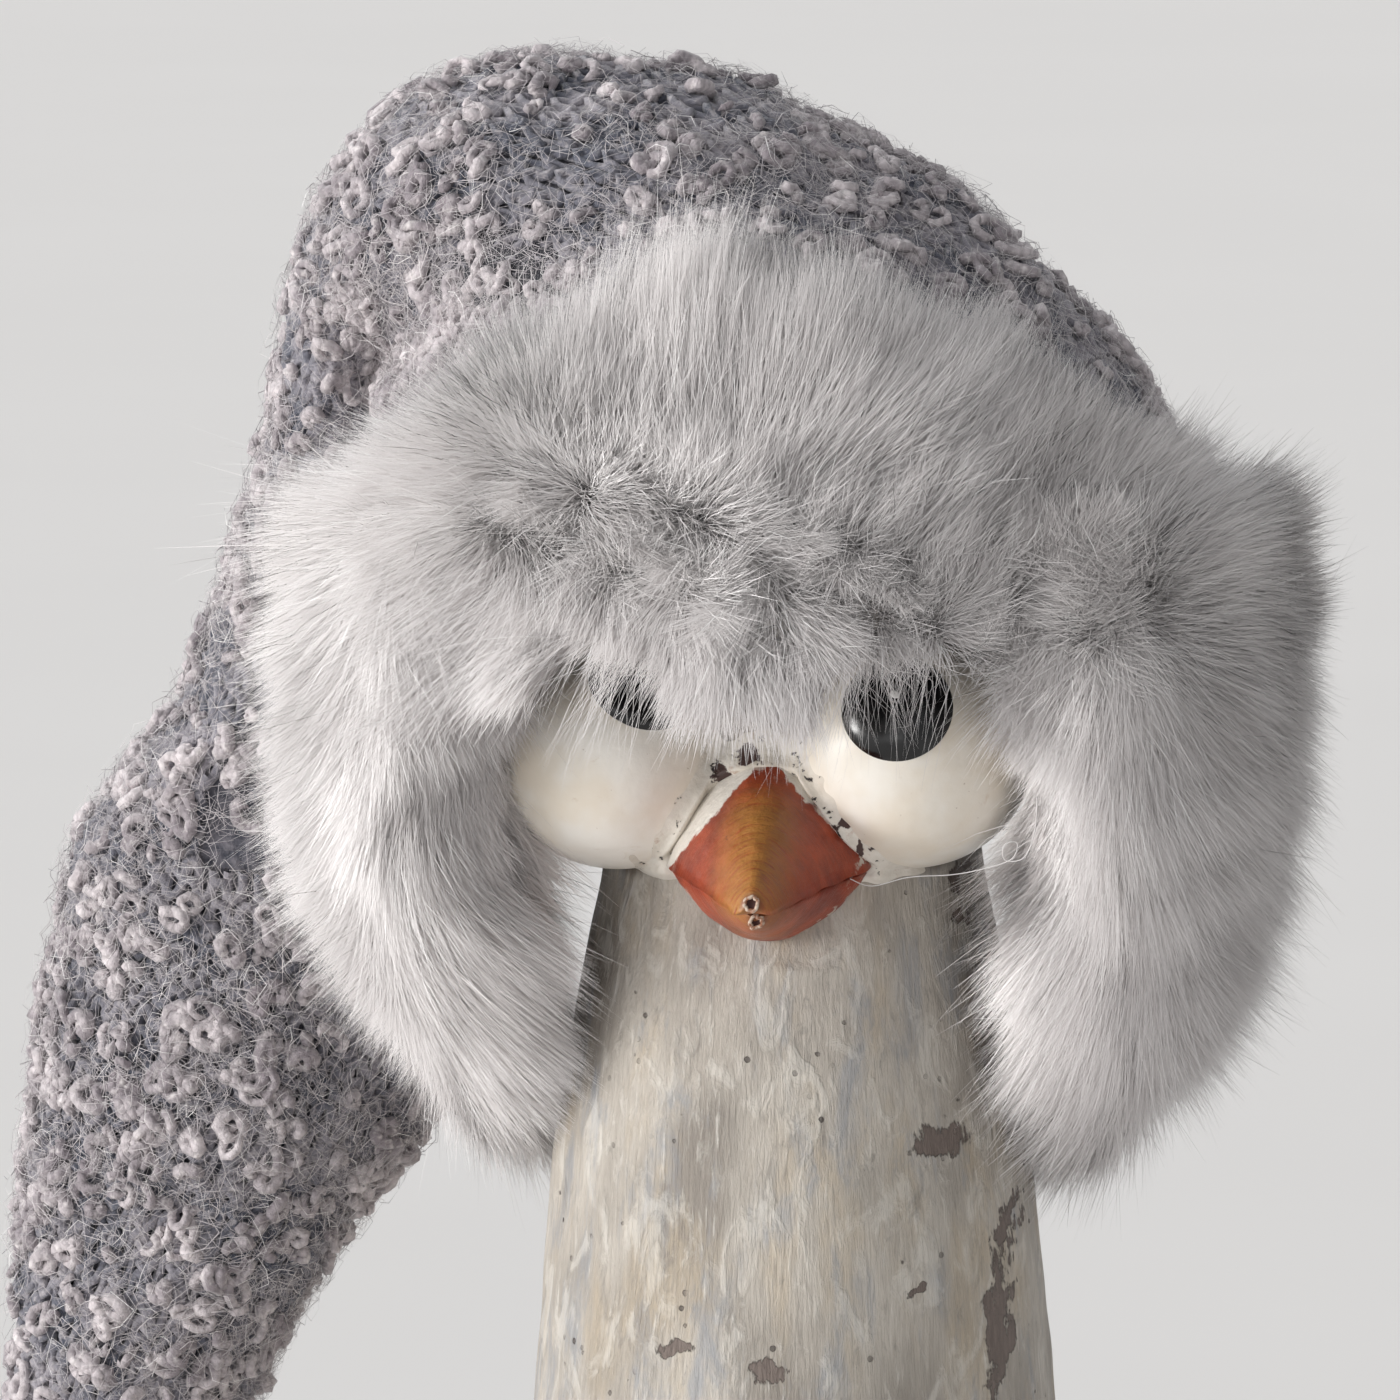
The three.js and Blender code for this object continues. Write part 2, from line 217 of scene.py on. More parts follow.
def linear(r, g, b):
    """A colour given as 0 to 255 display values, as linear values."""
    def one(v):
        v /= 255
        return v / 12.92 if v <= 0.04045 else ((v + 0.055) / 1.055) ** 2.4
    return one(r), one(g), one(b), 1.0


class Look:
    """A material and short ways to add nodes to it."""

    def __init__(self, name, roughness=0.5, **sockets):
        self.material = bpy.data.materials.new(name)
        self.material.use_nodes = True
        self.tree = self.material.node_tree
        self.shader = self.tree.nodes["Principled BSDF"]
        self.shader.inputs["Roughness"].default_value = roughness
        for key, value in sockets.items():
            self.shader.inputs[key.replace("_", " ")].default_value = value
        self.where = self.tree.nodes.new("ShaderNodeTexCoord").outputs["Object"]

    def feed(self, socket, value):
        if isinstance(value, bpy.types.NodeSocket):
            self.tree.links.new(value, socket)
        else:
            socket.default_value = value

    def node(self, kind, inputs=None, out=0, **settings):
        made = self.tree.nodes.new(kind)
        for key, value in settings.items():
            setattr(made, key, value)
        for key, value in (inputs or {}).items():
            self.feed(made.inputs[key], value)
        return made.outputs[out]

    def set(self, name, value):
        self.feed(self.shader.inputs[name], value)

    def math(self, operation, a, b=0.0):
        return self.node("ShaderNodeMath", {0: a, 1: b}, operation=operation)

    def total(self, *weighted):
        """The sum of pairs of a value and its weight."""
        found = 0.0
        for value, weight in weighted:
            found = self.math("ADD", found, self.math("MULTIPLY", value, weight))
        return found

    def vectors(self, operation, a, b=(0, 0, 0), out=0):
        return self.node("ShaderNodeVectorMath", {0: a, 1: b}, out=out, operation=operation)

    def far_from(self, point):
        """Distance, in metres, from a point given in millimetres."""
        return self.vectors("DISTANCE", self.where, tuple(c * MM for c in point), out=1)

    def split(self, vector):
        """The x, y and z of a vector."""
        made = self.tree.nodes.new("ShaderNodeSeparateXYZ")
        self.feed(made.inputs[0], vector)
        return made.outputs

    def strand_map(self):
        return self.split(self.node("ShaderNodeUVMap", uv_map=STRAND_MAP))

    def noise(self, size, detail=3.0, rough=0.55, vector=None, warp=0.0):
        """Noise whose features are about size millimetres across, from 0 to 1."""
        return self.node("ShaderNodeTexNoise", {
            "Vector": vector or self.where, "Scale": 1000.0 / size, "Detail": detail,
            "Roughness": rough, "Distortion": warp})

    def stretched(self, x, y, z, turn=(0, 0, 0)):
        """The place on the object, squeezed along each axis by these factors after a turn."""
        return self.node("ShaderNodeMapping", {
            "Vector": self.where, "Scale": (x, y, z), "Rotation": turn})

    def steps(self, value, low, high, start=0.0, end=1.0):
        return self.node("ShaderNodeMapRange", {
            "Value": value, "From Min": low, "From Max": high, "To Min": start, "To Max": end},
            interpolation_type="SMOOTHSTEP")

    def blend(self, amount, a, b, mode="MIX"):
        made = self.tree.nodes.new("ShaderNodeMix")
        made.data_type = "RGBA"
        made.blend_type = mode
        self.feed(made.inputs[0], amount)
        self.feed(made.inputs[6], a)
        self.feed(made.inputs[7], b)
        return made.outputs[2]

    def tones(self, value, low, high, dark, light):
        """A colour that goes from dark to light as value goes from low to high."""
        return self.blend(self.steps(value, low, high), linear(*dark), linear(*light))

    def over(self, colour, value, low, high, new, most=1.0):
        """colour, with a new one laid over it as value goes from low to high, by most at the most."""
        return self.blend(self.steps(value, low, high, 0.0, most), colour, linear(*new))

    def bump(self, height, depth, strength=1.0):
        """depth is the height, in millimetres, that a full step of the value stands for."""
        self.set("Normal", self.node("ShaderNodeBump", {
            "Height": height, "Distance": depth * MM, "Strength": strength}))


GLINT_TONE = 0.9                       # strands whose tone is above this get near-white tips, painted highlights for glints on the fibres


def strand_look(name, root, tip, dark, roughness):
    """Fibres whose map holds a tone across and the way from root to tip up."""
    look = Look(name, roughness, Specular_IOR_Level=0.55, Sheen_Weight=0.35, Sheen_Roughness=0.4)
    tone, way, _ = look.strand_map()
    along = look.steps(way, 0.0, 0.9)
    colour = look.blend(along, linear(*root), linear(*tip))
    colour = look.blend(tone, linear(*dark), colour)
    # Painted highlight: strands of the top tones get near-white tips, glints put into the colour
    painted_highlight_tips = look.math("MULTIPLY", look.steps(tone, GLINT_TONE - 0.06, GLINT_TONE), along)
    look.set("Base Color", look.blend(painted_highlight_tips, colour, linear(255, 254, 252)))
    return look.material


# ---------------------------------------------------------------- stage

VIEW_AZIMUTH = 8.5
VIEW_ELEVATION = 8.0
VIEW_DISTANCE = 1.6
VIEW_WIDTH = 0.149
# The eyes' middle is the centre of attention; the view's centre lies a little left of it
VIEW_AIM = Vector((-0.0083, -0.013, 0.2668))


def add_camera():
    data = bpy.data.cameras.new("view")
    data.sensor_width = 36.0
    data.lens = data.sensor_width * VIEW_DISTANCE / VIEW_WIDTH
    data.clip_start = 0.05
    data.clip_end = 60.0
    camera = bpy.data.objects.new("view", data)
    bpy.context.scene.collection.objects.link(camera)
    a, e = math.radians(VIEW_AZIMUTH), math.radians(VIEW_ELEVATION)
    away = Vector((math.sin(a) * math.cos(e), -math.cos(a) * math.cos(e), math.sin(e)))
    camera.location = VIEW_AIM + away * VIEW_DISTANCE
    camera.rotation_euler = (-away).to_track_quat("-Z", "Y").to_euler()
    bpy.context.scene.camera = camera


def add_sun(name, toward, power, softness, colour):
    """A lamp that shines the same everywhere, from the direction toward."""
    data = bpy.data.lights.new(name, "SUN")
    data.angle = math.radians(softness)
    data.energy = power
    data.color = colour
    lamp = bpy.data.objects.new(name, data)
    lamp.rotation_euler = Vector(toward).to_track_quat("Z", "Y").to_euler()
    bpy.context.scene.collection.objects.link(lamp)


SKY_LEFT = 1.02
SKY_RIGHT = 0.24
# Lamps: where the light comes from, power, softness in degrees and colour
SUNS = {"window": ((-0.90, -0.43, 0.08), 2.7, 20, (1.0, 0.985, 0.965)),
        "front": ((-0.30, -0.95, 0.04), 0.35, 40, (1.0, 0.99, 0.98)),
        "back": ((-0.35, 0.8, 0.75), 0.5, 30, (0.97, 0.985, 1.0))}


def add_sky():
    """Soft light all round, stronger from the left than from the right."""
    world = bpy.data.worlds.new("studio")
    world.use_nodes = True
    tree = world.node_tree
    place = tree.nodes.new("ShaderNodeTexCoord")
    split = tree.nodes.new("ShaderNodeSeparateXYZ")
    fall = tree.nodes.new("ShaderNodeMapRange")
    fall.inputs["From Min"].default_value = 0.95
    fall.inputs["From Max"].default_value = -0.95
    fall.inputs["To Min"].default_value = SKY_RIGHT
    fall.inputs["To Max"].default_value = SKY_LEFT
    tree.links.new(place.outputs["Generated"], split.inputs[0])
    tree.links.new(split.outputs["X"], fall.inputs["Value"])
    tree.links.new(fall.outputs[0], tree.nodes["Background"].inputs["Strength"])
    tree.nodes["Background"].inputs["Color"].default_value = (0.97, 0.985, 1.0, 1)
    bpy.context.scene.world = world


FLOOR_DROP = -0.4                      # millimetres below the object's underside
FLOOR_HALF = 9000.0


def add_studio():
    bpy.context.scene.view_settings.view_transform = "Standard"
    add_sky()
    for name, settings in SUNS.items():
        add_sun(name, *settings)
    look = Look("floor", 0.85)
    tint = look.noise(160, 2.0)
    look.set("Base Color", look.blend(tint, (0.83, 0.805, 0.785, 1), (0.86, 0.835, 0.815, 1)))
    h = FLOOR_HALF
    points = np.array([[x, y, FLOOR_DROP] for x, y in ((-h, -h), (h, -h), (h, h), (-h, h))])
    floor = mesh_object("floor", points, np.array([[0, 1, 2, 3]]), look.material)


# ---------------------------------------------------------------- fur

PILE = 9.0                             # usual length of a hair
ROOTS = 50 * 1.0   # hairs to a square millimetre
PIECE_TRIANGLES = 190000               # most triangles in one piece of hair; a piece with more wouldn't be exported whole
HAIR_WIDTH = (0.055, 0.10)
STRAY_SHARE = 0.035                    # share of the hairs that stand out of the pile
GLINT_HAIR_SHARE = 0.045                   # share of the hairs whose tips carry painted highlights
# Tone of those hairs, above GLINT_TONE, which gives their tips painted white glints
GLINT_HAIR_TONE = 0.96
TIP_SAG = 0.9                          # how far a hair's tip hangs down
SIDE_REACH = (53.0, 60.5)              # past the first x the pile is held back; it never passes the second
# The pile parts along this line over the brow and lies away from it everywhere
PARTING = np.array([[-21.0, -35.0, 288.5], [30.0, -32.0, 275.5]])


def sample_node(name, density, rng, keep):
    """Random points on a CAD node's faces, per square millimetre, with the faces' normals."""
    points, triangles = node_mesh(name)
    a, b, c = (points[triangles[:, k]] for k in range(3))
    cross = np.cross(b - a, c - a)
    area = np.linalg.norm(cross, axis=1) / 2
    normal = unit(cross)
    wanted = keep((a + b + c) / 3, normal)
    share = area * wanted
    count = int(share.sum() * density)
    pick = rng.choice(len(triangles), count, p=share / share.sum())
    u, v = rng.random((2, count, 1))
    fold = (u + v) > 1
    u, v = np.where(fold, 1 - u, u), np.where(fold, 1 - v, v)
    return a[pick] + u * (b - a)[pick] + v * (c - a)[pick], normal[pick]


def ribbons(name, path, facing, width, tone, material, rng, twist=0.9, lit_as=None):
    """Flat tapered strips along path (strand, step, xyz), each turned to face one way.

    lit_as gives each strip the shading normal of the surface it grows from, so that a pile
    shades softly as one surface does.
    """
    count, steps = path.shape[:2]
    tangent = unit(np.gradient(path, axis=1))
    side = unit(np.cross(tangent, facing[:, None, :] + rng.normal(0, twist, (count, 1, 3)) * 0.5))
    along = np.linspace(0, 1, steps)
    taper = np.sqrt(np.clip(1.02 - along**2.2, 0.02, 1))
    half = side * (0.5 * width[:, None, None] * taper[None, :, None])
    points = np.stack([path - half, path + half], 2).reshape(-1, 3)
    base = (np.arange(count)[:, None] * steps + np.arange(steps - 1)[None, :]) * 2
    faces = np.stack([base, base + 1, base + 3, base + 2], -1).reshape(-1, 4)
    uv = np.empty((count, steps, 2, 2))
    uv[..., 0] = tone[:, None, None] + np.array([-0.004, 0.004])
    uv[..., 1] = np.clip(along, 0.01, 0.99)[None, :, None]
    piece = mesh_object(name, points, faces, material, uv=np.clip(uv.reshape(-1, 2), 0, 1))
    if lit_as is not None:
        own = unit(np.cross(side, tangent))
        own *= np.sign((own * lit_as[:, None, :]).sum(-1, keepdims=True))
        shown = unit(own * 0.45 + lit_as[:, None, :])
        shown = np.repeat(shown[:, :, None, :], 2, axis=2).reshape(-1, 3)
        piece.data.normals_split_custom_set_from_vertices(shown.astype(np.float32))
    return piece


CLUMPS = Waves(3, 2.4, 14)
LOCKS = Waves(4, 7.5, 10)
SWIRL = [Waves(seed, 24.0) for seed in (5, 6, 7)]
TOUSLE = [Waves(seed, 6.5) for seed in (8, 9, 10)]


def comb(p):
    """Which way the pile lies: away from the parting, where it is tousled, and down with its weight."""
    flat = p * [1, 0, 1]
    start, end = PARTING * [1, 0, 1]
    along = end - start
    t = np.clip(((flat - start) @ along) / (along @ along), 0, 1)[:, None]
    away = flat - (start + t * along)
    far = np.linalg.norm(away, axis=1, keepdims=True)
    back = smoothstep(20, 45, far) * 0.35
    sway = np.stack([w.at(p) for w in SWIRL], 1) * 0.22
    tousle = np.stack([w.at(p) for w in TOUSLE], 1) * smoothstep(15, 3, far) * 0.6
    way = unit(away) * smoothstep(0, 8.0, far) + [0, 0, -0.1] + back * [0, 1, 0] + sway + tousle
    return way / np.maximum(np.linalg.norm(way, axis=1, keepdims=True), 0.6)


def eased(value, start, limit):
    """value, slowed down beyond start so that it never passes limit."""
    room = limit - start
    return np.where(value > start, start + room * np.tanh((value - start) / room), value)


def grow(name, roots, normals, body, material, rng, pile=PILE, lift=1.0, lean=0.0, steps=4,
         rough=1.0, fine=1.0, lit=0.0):
    """Hairs from these roots, in pieces small enough to export whole; lit leans their shading normals."""
    count = len(roots)
    shown = unit(normals + lit)
    way = comb(roots) + lean
    way = way - normals * (way * normals).sum(1, keepdims=True) * 0.7
    length = pile * rng.normal(1.0, 0.13, count).clip(0.55, 1.35) * (1 + 0.10 * LOCKS.at(roots))
    stand = lift * rng.normal(1.0, 0.12, count)
    stray = rng.random(count) < STRAY_SHARE
    stand = np.where(stray, stand * 1.25, stand)
    loose = 1 - np.linalg.norm(comb(roots), axis=1)
    jitter = rng.normal(0, 1, (count, 3)) * (0.20 + 0.35 * loose + 0.2 * stray)[:, None]
    t = np.linspace(0, 1, steps)[None, :, None]
    n, c = normals[:, None, :], (way + jitter)[:, None, :]
    size = length[:, None, None]
    path = roots[:, None, :] + size * (n * stand[:, None, None] * (0.95 * t - 0.19 * t**2)
                                       + c * (0.08 * t + 0.44 * t**2))
    pull = CLUMPS.slope(roots) * 0.34 + LOCKS.slope(roots) * 0.5
    pull *= (~stray)[:, None]
    path += pull[:, None, :] * t**1.6
    curl = rng.normal(0, 0.36 * rough, (count, 1, 3))
    curl = curl * np.sin(t * np.pi * rng.uniform(0.9, 2.2, (count, 1, 1)))
    path += curl * smoothstep(0, 0.5, t)
    path[..., 2] -= TIP_SAG * t[..., 0] ** 2
    path[..., 0] = eased(path[..., 0], *SIDE_REACH)
    tone = 0.6 + 0.05 * LOCKS.at(roots) + 0.03 * CLUMPS.at(roots) + rng.normal(0, 0.07, count)
    # A few hairs take the glint tone, so their tips carry painted highlights
    tone = np.where(rng.random(count) < GLINT_HAIR_SHARE, GLINT_HAIR_TONE, np.clip(tone, 0.03, 0.84))
    width = rng.uniform(*HAIR_WIDTH, count) * fine
    per_piece = PIECE_TRIANGLES // ((steps - 1) * 2)
    for k in range(math.ceil(count / per_piece)):
        part = slice(k * per_piece, (k + 1) * per_piece)
        attach(ribbons(f"{name}_{k + 1}", path[part], normals[part], width[part], tone[part], material, rng,
                       twist=0.35, lit_as=shown[part]), body, "faux_fur")


def outward(p, normal):
    """Whether a face looks away from the head inside the hood."""
    away = p * [1, 1, 0] - np.array([0, 3, 0])
    flat = unit(away)
    return (normal * flat).sum(1) > 0.12


# The middle of each flap's thickness: radius from the middle of the head, front and back angles in
# degrees, and the heights between which the flap's core runs
FLAP_CORE = {"radius": [[227, 33.0], [243, 38.5], [266, 41.5], [285, 41.5]], "low": 228.0, "high": 283.0,
             "front": [[227, 3.0], [234, 9.0], [243, 17.0], [254, 24.0], [285, 29.0]], "back": 4.0}
# The backings lie this much below the CAD's surface, under the pile
FUR_BASE = {"brow": -1.2, "flap": -0.8}


def flap_normals(p):
    """Directions out of the nearest point of the flap's core, which turn smoothly round its edges."""
    side = np.sign(p[:, 0])
    z = np.clip(p[:, 2], FLAP_CORE["low"], FLAP_CORE["high"])
    angle = np.arctan2(-p[:, 1], np.abs(p[:, 0]))
    front = np.radians(np.interp(z, *np.array(FLAP_CORE["front"]).T))
    back = math.radians(FLAP_CORE["back"])
    angle = np.clip(angle, back, np.maximum(front, back))
    radius = np.interp(z, *np.array(FLAP_CORE["radius"]).T)
    core = np.stack([side * radius * np.cos(angle), -radius * np.sin(angle), z], -1)
    return unit(p - core)


# Across the brow: x, the height down to which hairs are rooted, and their length
FRINGE = np.array([[-30, 271.5, 9.6], [-19, 273, 9.2], [-17, 276.5, 7.0], [-8.5, 276.5, 7.0],
                   [-6, 271.5, 9.6], [6, 271.5, 9.6], [9, 274, 8.6], [11, 276, 7.0], [21, 276, 7.0],
                   [24, 273.5, 9.0], [30, 271.5, 9.6]]).T


# How the shading normals of the brow's pile lean: in its middle, and where it is brushed flat at the left
LIT_MIDDLE = np.array([-0.15, -0.1, 0])
LIT_FLAT = np.array([0.45, 0, 0.25])
LIT_FLAP = {"left": np.array([-0.35, -0.25, 0]), "right": 0.0}
WISP_SHARE = 0.13                      # share of the hairs over the pupils that hang down in wisps


def brow_length(p):
    """The fringe is cut short over the eyes, and is longest between them."""
    return mix(PILE, np.interp(p[:, 0], FRINGE[0], FRINGE[2]), smoothstep(287, 276, p[:, 2]))


def brow_faces(p, normal):
    side_end = (np.abs(p[:, 0]) > 27) & (normal[:, 2] < -0.5)
    upper_edge = normal[:, 2] > 0.4
    return outward(p, normal) | side_end | upper_edge


def add_brow_fur(hair, rng):
    roots, normals = sample_node("fur_band", ROOTS, rng, brow_faces)
    high = roots[:, 2] > np.interp(roots[:, 0], FRINGE[0], FRINGE[1])
    roots, normals = roots[high], normals[high]
    rounded = unit(roots - [0, 8, 266])
    normals = unit(normals * 0.5 + rounded * 0.6)
    x, _, z = roots.T
    crest = smoothstep(293, 300, z) * np.exp(-((x + 6) / 15) ** 2)
    flat = (smoothstep(-10, -24, x) * smoothstep(276, 284, z))[:, None]
    grow("fur_brow", roots, normals, "hood", hair, rng, pile=brow_length(roots) * (1 + 0.45 * crest),
         lean=crest[:, None] * [0, 0.1, 0.7], lit=mix(LIT_MIDDLE, LIT_FLAT, flat))
    near_pupil = ((x > 8) & (x < 20)) | ((x > -16) & (x < -8))
    near_pupil &= (z < 279) & (rng.random(len(roots)) < WISP_SHARE)
    grow("fur_wisps", roots[near_pupil], normals[near_pupil], "hood", hair, rng, pile=11.5, lift=0.8,
         lean=np.array([-0.2, 0, -1.1]), steps=7, rough=3.2, fine=0.65)


SIGN = {"left": -1, "right": 1}
# How much the front edge of each flap leans toward the face, from its tip up
INWARD_LEAN = {"left": [2.0, 2.7, 1.4, 0.0, 0.9, 1.2], "right": [0.9, 0.7, 0.3, 0.1, 0.8, 1.1]}


CHEEK_WIDE = 11.5                      # width and height of the fur between the fringe and a flap
CHEEK_TALL = 19.0


def cheek(side, u, v):
    """Points between the fringe and the front edge of a flap; u runs outward and v downward."""
    x = 25.5 + CHEEK_WIDE * u
    y = -27.0 + 0.8 * u - 1.2 * np.sin(np.pi * u)
    return np.stack([SIGN[side] * x, y, mix(289.0, 271.0 - 4.0 * u, v)], -1)


def add_cheek_fur(side, hair, rng):
    """Fur between the fringe and the flap, which closes the brim round the face."""
    count = int(ROOTS * CHEEK_WIDE * CHEEK_TALL)
    roots = cheek(side, *rng.random((2, count)))
    normals = unit([SIGN[side] * 0.35, -0.93, 0.05] + rng.normal(0, 0.12, roots.shape))
    pile = PILE * (1.0 if side == "left" else 0.85)
    grow(f"fur_cheek_{side}", roots, normals, "hood", hair, rng, pile=pile)


def faces_neck(p, normal):
    """Whether a flap's face looks in toward the neck; its own normal isn't needed."""
    return (flap_normals(p) * unit(p * [1, 1, 0])).sum(1) < -0.25


def faces_out(p, normal):
    return ~faces_neck(p, normal)


def add_flap_fur(side, hair, rng):
    node, body, sign = f"flap_{side}_fur", f"flap_{side}", SIGN[side]
    roots, normals = sample_node(node, ROOTS * 1.15, rng, faces_out)
    smooth = unit(flap_normals(roots) + normals * 0.25 + rng.normal(0, 0.10, roots.shape))
    z = roots[:, 2]
    front = smoothstep(0.35, 0.95, -smooth[:, 1])
    inward = np.interp(z, [232, 246, 251, 262, 267, 280], INWARD_LEAN[side])
    lean = front[:, None] * np.stack([-sign * inward, 0 * front, 0 * front - 0.4], -1)
    pile = PILE * mix(0.85 if side == "left" else 1.12, 1.15, smoothstep(226, 250, z))
    facing_eye = smoothstep(-0.2, 0.6, -sign * smooth[:, 0])
    beside_eye = smoothstep(247, 252, z) * smoothstep(272, 266, z)
    pile = pile * (1 - 0.55 * facing_eye * beside_eye)
    tip = smoothstep(236, 226, z)[:, None]
    lean = lean + tip * [-0.9, 0, 0.3] * (1.0 if side == "right" else -0.5)
    grow(f"fur_{side}", roots, smooth, body, hair, rng, pile=pile, lean=lean, lit=LIT_FLAP[side])
    roots, normals = sample_node(node, ROOTS * 0.6, rng, faces_neck)
    low = smoothstep(262, 254, roots[:, 2])
    toward_neck = low[:, None] * [-0.5 * sign, 0, 0.1]
    grow(f"fur_{side}_inner", roots, flap_normals(roots), body, hair, rng, pile=mix(6.0, 11.5, low),
         lift=0.85, lean=toward_neck)


# A loose fibre that lies from the right corner of the beak over the column and curls by the flap
LOOSE_FIBRE = [[9.4, -24, 249.6], [12, -26, 249.2], [16, -26.5, 250.3], [20.5, -26, 250.6],
               [24, -26.5, 251.4], [27.0, -27, 252.6], [27.6, -27.6, 254.4], [26.3, -28, 254.2],
               [26.4, -28, 252.6], [28.4, -28, 252.9], [29.6, -28.5, 255.8], [29.9, -29, 259.5]]


def add_loose_fibre(hair):
    path = spline(LOOSE_FIBRE, np.linspace(0, len(LOOSE_FIBRE) - 1, 90))[None]
    out = np.broadcast_to([0.1, -1.0, 0.05], path.shape)
    points, faces, uv = tubes(path, out, np.full((1, 90), 0.055), 5)
    # The fibre's tone 0.96 lies above GLINT_TONE, so most of its length takes the near-white painted
    # highlight
    uv = np.clip(uv * [0, 1] + [0.96, 0], 0, 0.97)
    attach(mesh_object("loose_fibre", points, faces, hair, uv), "hood", "faux_fur")


def add_backings():
    """The knitted backings that the pile grows from."""
    look = Look("fur_backing", 0.95)
    look.set("Base Color", look.blend(look.noise(1.6, 3.0), linear(122, 118, 120), linear(158, 153, 154)))
    look.bump(look.noise(0.6, 2.0), 0.3)

    def trimmed(points):
        points[:, 2] = np.maximum(points[:, 2], np.where(np.abs(points[:, 0]) < 27.8, 281.0, 0.0))
        return points

    sink = {part: (lambda p, depth=depth: np.full(len(p), depth)) for part, depth in FUR_BASE.items()}
    made = [shaped_copy("fur_band", "brow_backing", look.material, "hood", "faux_fur",
                        raised=sink["brow"], rounds=2, moved=trimmed)]
    for side in SIGN:
        made.append(shaped_copy(f"flap_{side}_fur", f"flap_backing_{side}", look.material,
                                f"flap_{side}", "faux_fur", raised=sink["flap"], rounds=3))
        u, v = np.meshgrid(np.linspace(0, 1, 14), np.linspace(0, 1, 20), indexing="ij")
        front = cheek(side, u, v)
        front[..., 1] += 0.8 + 0.2 * LOCKS.at(front)
        faces = grid_faces(14, 20, wrap=False)
        patch = mesh_object(f"cheek_backing_{side}", front.reshape(-1, 3), faces, look.material)
        attach(patch, "hood", "faux_fur")


def add_fur():
    rng = np.random.default_rng(11)
    hair = strand_look("fur_hair", (214, 209, 208), (246, 242, 241), (198, 192, 191), 0.32)
    add_brow_fur(hair, rng)
    for side in SIGN:
        add_cheek_fur(side, hair, rng)
        add_flap_fur(side, hair, rng)
    add_loose_fibre(hair)
    add_backings()


# ---------------------------------------------------------------- knitted hood

# Stations along the hood from its rim over the fold to the tail's tip, each a cross-section:
# outer edge x and z, inner edge x and z, middle y and half-depth
HOOD = [
    [41, 254, -41, 254, 5.5, 35.5], [42, 270, -41.5, 270, 5.5, 36.5], [41.5, 285, -42.3, 285, 5.3, 36.3],
    [37.5, 295, -43, 291.5, 5.5, 35.3], [31.5, 303.5, -43.6, 294.5, 6, 33.8],
    [24.5, 310.5, -44, 296, 7, 31.5], [15.5, 317.3, -44.2, 297, 8.5, 29.5],
    [5, 323.3, -44.4, 297.5, 10.5, 27.5], [-7, 328, -44.5, 297.8, 13, 25.5],
    [-20, 330.8, -44.5, 298, 16, 24], [-33, 331, -44.6, 298, 19, 23],
    [-45, 326.5, -44.8, 297.8, 21.5, 22], [-53.5, 317, -45, 297.3, 23, 21], [-57.3, 305, -45.3, 296, 24, 20],
    [-58.8, 295, -45.6, 292, 24, 19], [-61, 286, -46, 284, 24, 18], [-65.4, 272, -46, 271, 24, 18],
    [-70, 260, -45.6, 260, 24, 17.8], [-77, 252, -45.2, 251, 24, 17.6], [-81.5, 244, -44.5, 242, 24, 17.4],
    [-83.6, 231, -43.5, 229.5, 24, 17], [-86, 217, -45, 215, 24, 16.4], [-87.4, 208, -51.5, 206, 24, 14.8],
    [-88.4, 197, -58.5, 195, 24, 12.8], [-89, 184, -65, 183, 24, 11], [-88.5, 170, -72, 169.5, 24, 8.6],
    [-87, 160, -77, 160, 24, 6], [-84.5, 154, -80.5, 154, 24, 2.4],
]
FOLD_START = 9.5                       # the station at which the tail's knit begins
FACE_RIM = 286.0                       # in front the crown ends at this height
NAPE_FRONT = 6.0                       # the nape panel lies behind this y
WRINKLES = Waves(21, 22.0, 8)
LUMPS = Waves(22, 9.0, 10)
YARN_R = 0.62
COURSE = 2.45                          # height of a row of stitches
WALE = 3.2                             # width of a stitch


def hood_point(s, phi, raise_by=0.0):
    """Points of the hood's surface and their outward normals."""
    def place(s, phi):
        row = spline(HOOD, s)
        outer = np.stack([row[..., 0], 0 * row[..., 0], row[..., 1]], -1)
        inner = np.stack([row[..., 2], 0 * row[..., 0], row[..., 3]], -1)
        p = (outer + inner) / 2 + (outer - inner) / 2 * np.cos(phi)[..., None]
        p[..., 1] = row[..., 4] + row[..., 5] * np.sin(phi)
        return p
    step = 0.02
    p = place(s, phi)
    sideways = place(s, phi + step) - place(s, phi - step)
    upward = place(np.minimum(s + step, len(HOOD) - 1), phi) - place(np.maximum(s - step, 0), phi)
    normal = unit(np.cross(sideways, upward))
    bumps = 0.55 * WRINKLES.at(p) + 0.35 * LUMPS.at(p)
    return p + normal * (bumps + raise_by)[..., None], normal


def hood_rows():
    """Stations of the rows of stitches, and the hood's girth at each."""
    fine = np.linspace(0, len(HOOD) - 1, 900)
    middle = hood_point(fine, np.full(900, -np.pi / 2))[0]
    run = np.concatenate([[0], np.cumsum(np.linalg.norm(np.diff(middle, axis=0), axis=1))])
    stations = np.interp(np.arange(COURSE / 2, run[-1], COURSE), run, fine)
    row = spline(HOOD, stations)
    half = np.hypot(row[:, 0] - row[:, 2], row[:, 1] - row[:, 3]) / 2
    girth = 2 * np.pi * np.sqrt((half**2 + row[:, 5] ** 2) / 2)
    return stations, girth


def cut_away(p):
    """Whether a point would lie in the open face of the hood."""
    return (p[..., 2] < FACE_RIM) & (p[..., 1] < NAPE_FRONT)


